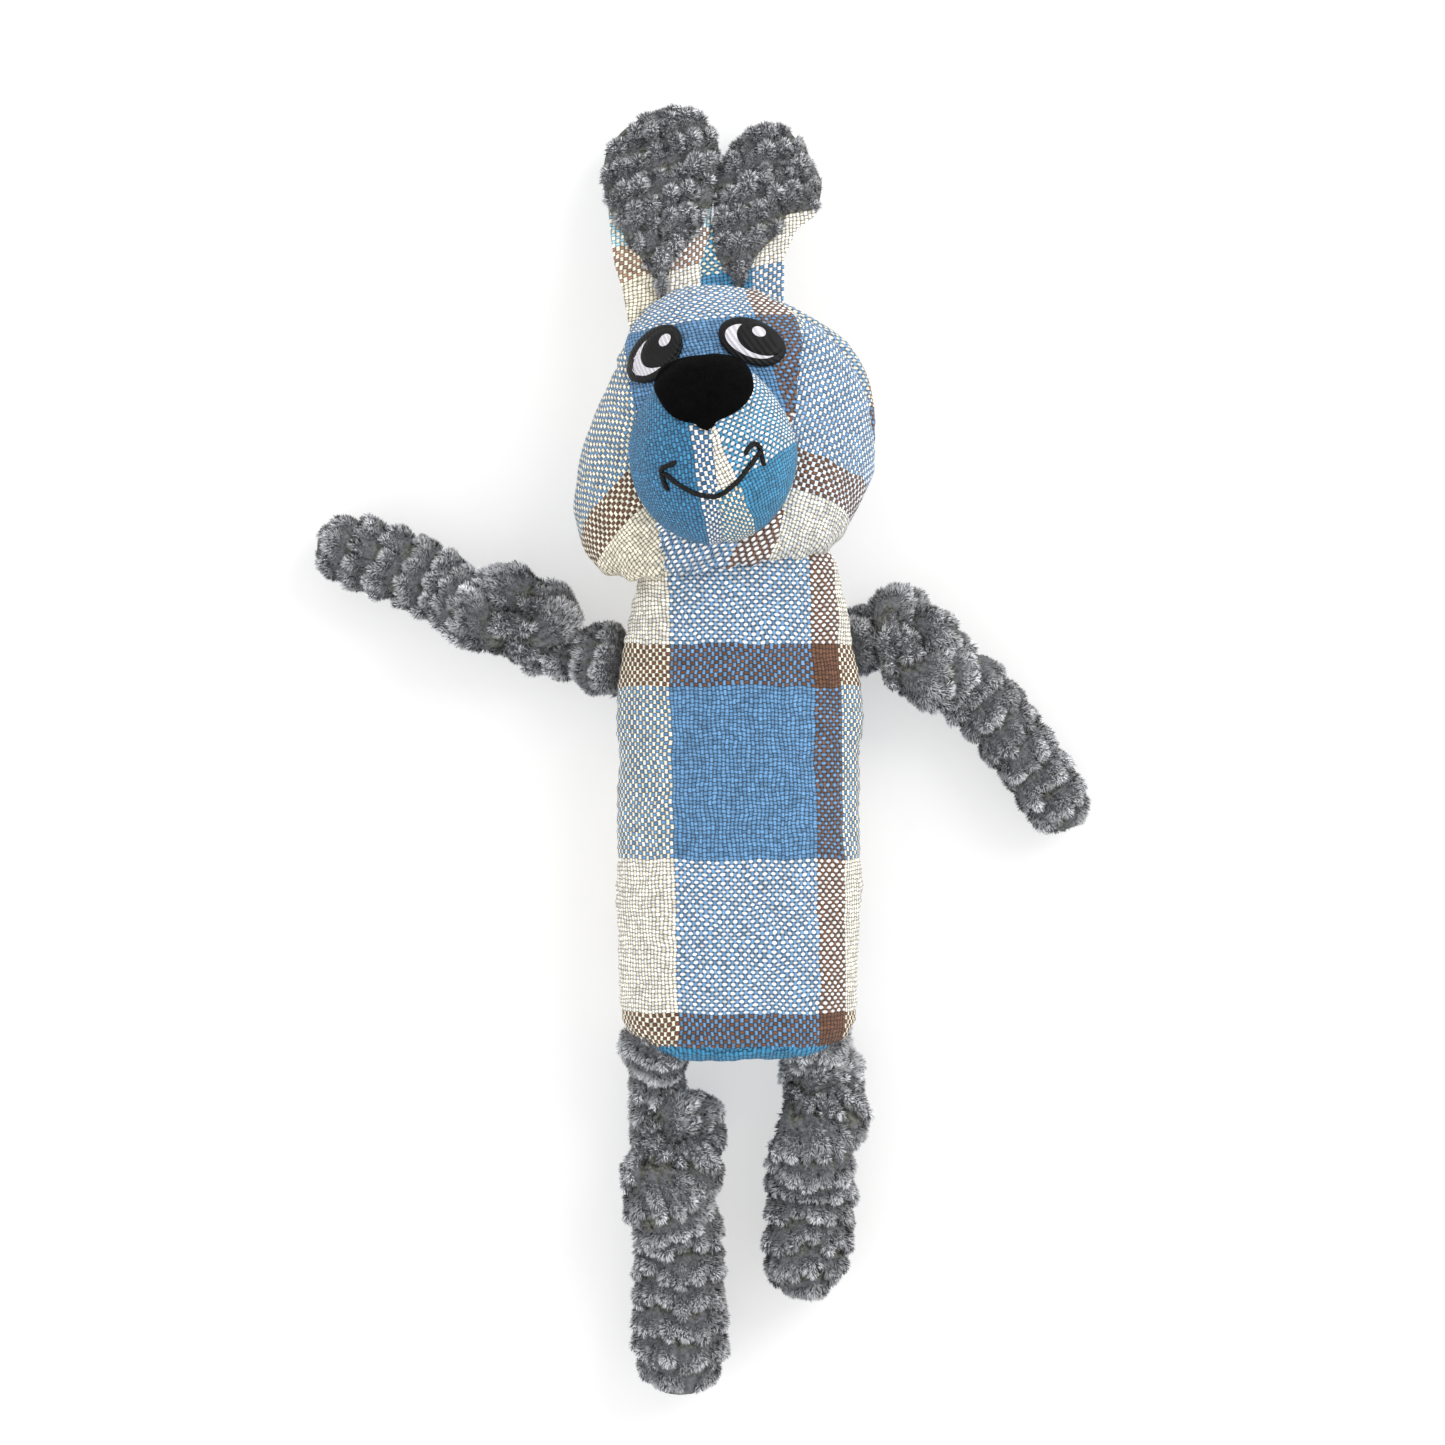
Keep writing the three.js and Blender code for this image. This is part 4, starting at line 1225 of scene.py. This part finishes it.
# %% Build the ears
# outline: (y, middle x, half width); plush: (y, where it starts, where it ends) in shares of the half width
EARS = {
    "left": {
        "outline": [(149, -24, 9.6), (163, -23.9, 12.2), (171, -25.3, 13.4), (182, -24.5, 15.6),
                    (192, -24.7, 16.5), (199, -25.2, 17.2), (206, -24.3, 17.5), (209, -24, 17.2),
                    (212.5, -23.2, 16), (216.5, -22.4, 13.6), (219.7, -21.2, 10), (222, -19, 6.4),
                    (223.6, -17.8, 3), (224, -17.6, 1)],
        "plush": [(160, 0.02, 0.08), (163.6, -0.08, 0.14), (168, -0.2, 0.24), (174, -0.42, 0.4),
                  (178.2, -0.71, 0.62), (181.2, -0.74, 0.79), (186, -0.92, 0.84), (192, -1.02, 1.02),
                  (224, -1.05, 1.05)],
        "cloth": left_ear_plaid, "pivot": (-26.4, 165.9, 32), "slope": -0.32, "seed": 51, "tilt": -0.25},
    "right": {
        "outline": [(149, 2.4, 10.8), (159, 1.4, 12.4), (166.4, 0.4, 13.6), (173.3, 0.7, 13.4),
                    (182.7, 4, 14), (188.4, 8.8, 15.9), (199.5, 9, 16.4), (204.7, 8.4, 14.8),
                    (210.6, 9.6, 11.2), (213.5, 9.8, 8.4), (216, 10.8, 5.4), (217.6, 10.6, 2.4),
                    (218.2, 10.5, 1)],
        "plush": [(162.7, -0.12, 0.0), (166.4, -0.18, 0.1), (169.5, -0.4, 0.2), (176.4, -0.68, 0.42),
                  (182.7, -0.86, 0.7), (187.6, -1.02, 0.44), (190.3, -1.04, 1.0), (196, -1.05, 1.05),
                  (218.2, -1.05, 1.05)],
        "cloth": right_ear_plaid, "pivot": (4.1, 167.5, 32), "slope": -0.30, "seed": 61, "tilt": -0.22},
}


def ear_surface(ear, y, share, above):
    """Points of an ear: y in mm, share of the half width from -1 to 1, and mm above its middle sheet."""
    table = np.array(ear["outline"])
    middle = np.interp(y, table[:, 0], table[:, 1])
    half = np.interp(y, table[:, 0], table[:, 2])
    drop = np.clip((y - 152) / (table[-1, 0] - 152), 0, 1)
    z = 31 - 23 * drop**0.9 + 2.2 * np.sin(drop * math.pi * 1.6) + above
    return np.stack([middle + half * share, y, z], axis=-1)


def folded(y):
    """How much an ear is folded: 1 at its root, 0 from the middle on."""
    return np.clip((190 - y) / 34, 0, 1) ** 1.1


def ear_thickness(ear, y):
    return 0.8 + 2.6 * np.sqrt(np.clip((ear["outline"][-1][0] + 0.5 - y) / 60, 0, 1))


for side, ear in EARS.items():
    low, high = ear["outline"][0][0], ear["outline"][-1][0]
    rows, columns = 72, 60
    y = np.linspace(low, high, rows)[:, None] + np.zeros((1, columns))
    turn = np.linspace(0, 2 * math.pi, columns, endpoint=False)[None, :] + np.zeros((rows, 1))
    share = np.cos(turn)
    above = np.sin(turn) * ear_thickness(ear, y) + folded(y) * (8 * share**2 - 3)
    above += 0.5 * np.sin(y / 4.2 + 3 * share)
    grid = ear_surface(ear, y, share, above)
    body = grid_mesh(side + "_ear_plaid_body", grid[:, ::-1], True, ear["cloth"])
    co = points(body) / MM
    sheet = np.stack([co[:, 0] - co[:, 0].mean(), co[:, 1] - 150 + ear["tilt"] * co[:, 0]], axis=1)
    lay_cloth(body, np.zeros(len(body.data.polygons), int), [sheet], [ear["cloth"]])

    plush = np.array(ear["plush"])
    rows, columns = 76, 56
    y = np.linspace(plush[0, 0], high - 0.4, rows)[:, None] + np.zeros((1, columns))
    spread = np.linspace(0, 1, columns)[None, :] + np.zeros((rows, 1))
    first, last = np.interp(y, plush[:, 0], plush[:, 1]), np.interp(y, plush[:, 0], plush[:, 2])
    share = first + (last - first) * spread
    lens = np.sqrt(np.clip(1 - np.clip(np.abs(share), 0, 1) ** 2, 0, 1))
    above = lens * ear_thickness(ear, y) + folded(y) * (8 * share**2 - 3) + 0.35
    base = ear_surface(ear, y, share, above)
    rim = np.sqrt(np.clip(1 - np.abs(2 * spread - 1) ** 4, 0, 1)) * np.clip((high + 1 - y) / 4, 0.2, 1)
    pile, tone = tufts(y - low + ear["slope"] * base[..., 0], 0.5 + base[..., 0] / 110, 110, ear["seed"], 8.6)
    pile = pile * (0.35 + 0.65 * rim)
    grid = base + grid_normals(base, False) * ((4.0 * pile + 0.4) * rim)[..., None]
    top = plush_skin(side + "_ear_plush_skin", grid, pile, False)
    fur = pile_on(side + "_ear_plush_pile", grid, (pile, 1.22 * tone), False, 10.0, ear["seed"], -0.2)
    apply_modifier(top, "SOLIDIFY", thickness=1.2 * MM, offset=-1.0)
    pivot = Vector(ear["pivot"])
    start, end = pivot + Vector((0, -6, 0)), pivot + Vector((0, 10, -3))
    for piece, slot in ((body, "cream_plaid_cotton"), (top, "grey_corduroy_plush"),
                        (fur, "grey_corduroy_plush")):
        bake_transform(piece)
    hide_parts(side + "_ear_plaid_back", side + "_ear_fold")
    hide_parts(side + "_ear_plush_front")
print("ears:", len(EARS))

# %% [markdown]
# ## The squeaker
# A plastic squeaker sits in the middle of the torso's filling. Nobody sees it, and its CAD shape is
# already right, so it only needs its material: soft vinyl, cast and slightly waxy.

# %% Squeaker material
# cast vinyl: smooth and waxy, with a barely cloudy cream colour
cast_vinyl = new_material("soft_vinyl_rotational_cast_cream")
place = add_node(cast_vinyl, "TexCoord")
haze = add_node(cast_vinyl, "TexNoise", {"Vector": place.outputs["Object"], "Scale": 120.0})
tone = add_node(cast_vinyl, "Mix", {0: haze, 6: linear("E4DFCF"), 7: linear("EFEBDF")}, data_type="RGBA")
finish_material(cast_vinyl, {"Base Color": tone, "Roughness": 0.38, "IOR": 1.53})
for node_name in ("squeaker_bulb", "squeaker_reed"):
    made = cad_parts[node_name]
    made.data.materials.clear()
    made.data.materials.append(cast_vinyl)

# %% [markdown]
# ## The size of the visual model
# The CAD model's box and the visual model's box are both printed, so that they can be compared. The
# visual model has to stay inside the CAD model's box, apart from the little that cloth may stand
# proud.

# %% Print the two boxes
new_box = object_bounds()
for word, low, high in zip("xyz", zip(cad_box[0], new_box[0]), zip(cad_box[1], new_box[1])):
    print(word, "low (CAD, visual):", [round(v / MM, 1) for v in low],
          "high:", [round(v / MM, 1) for v in high])
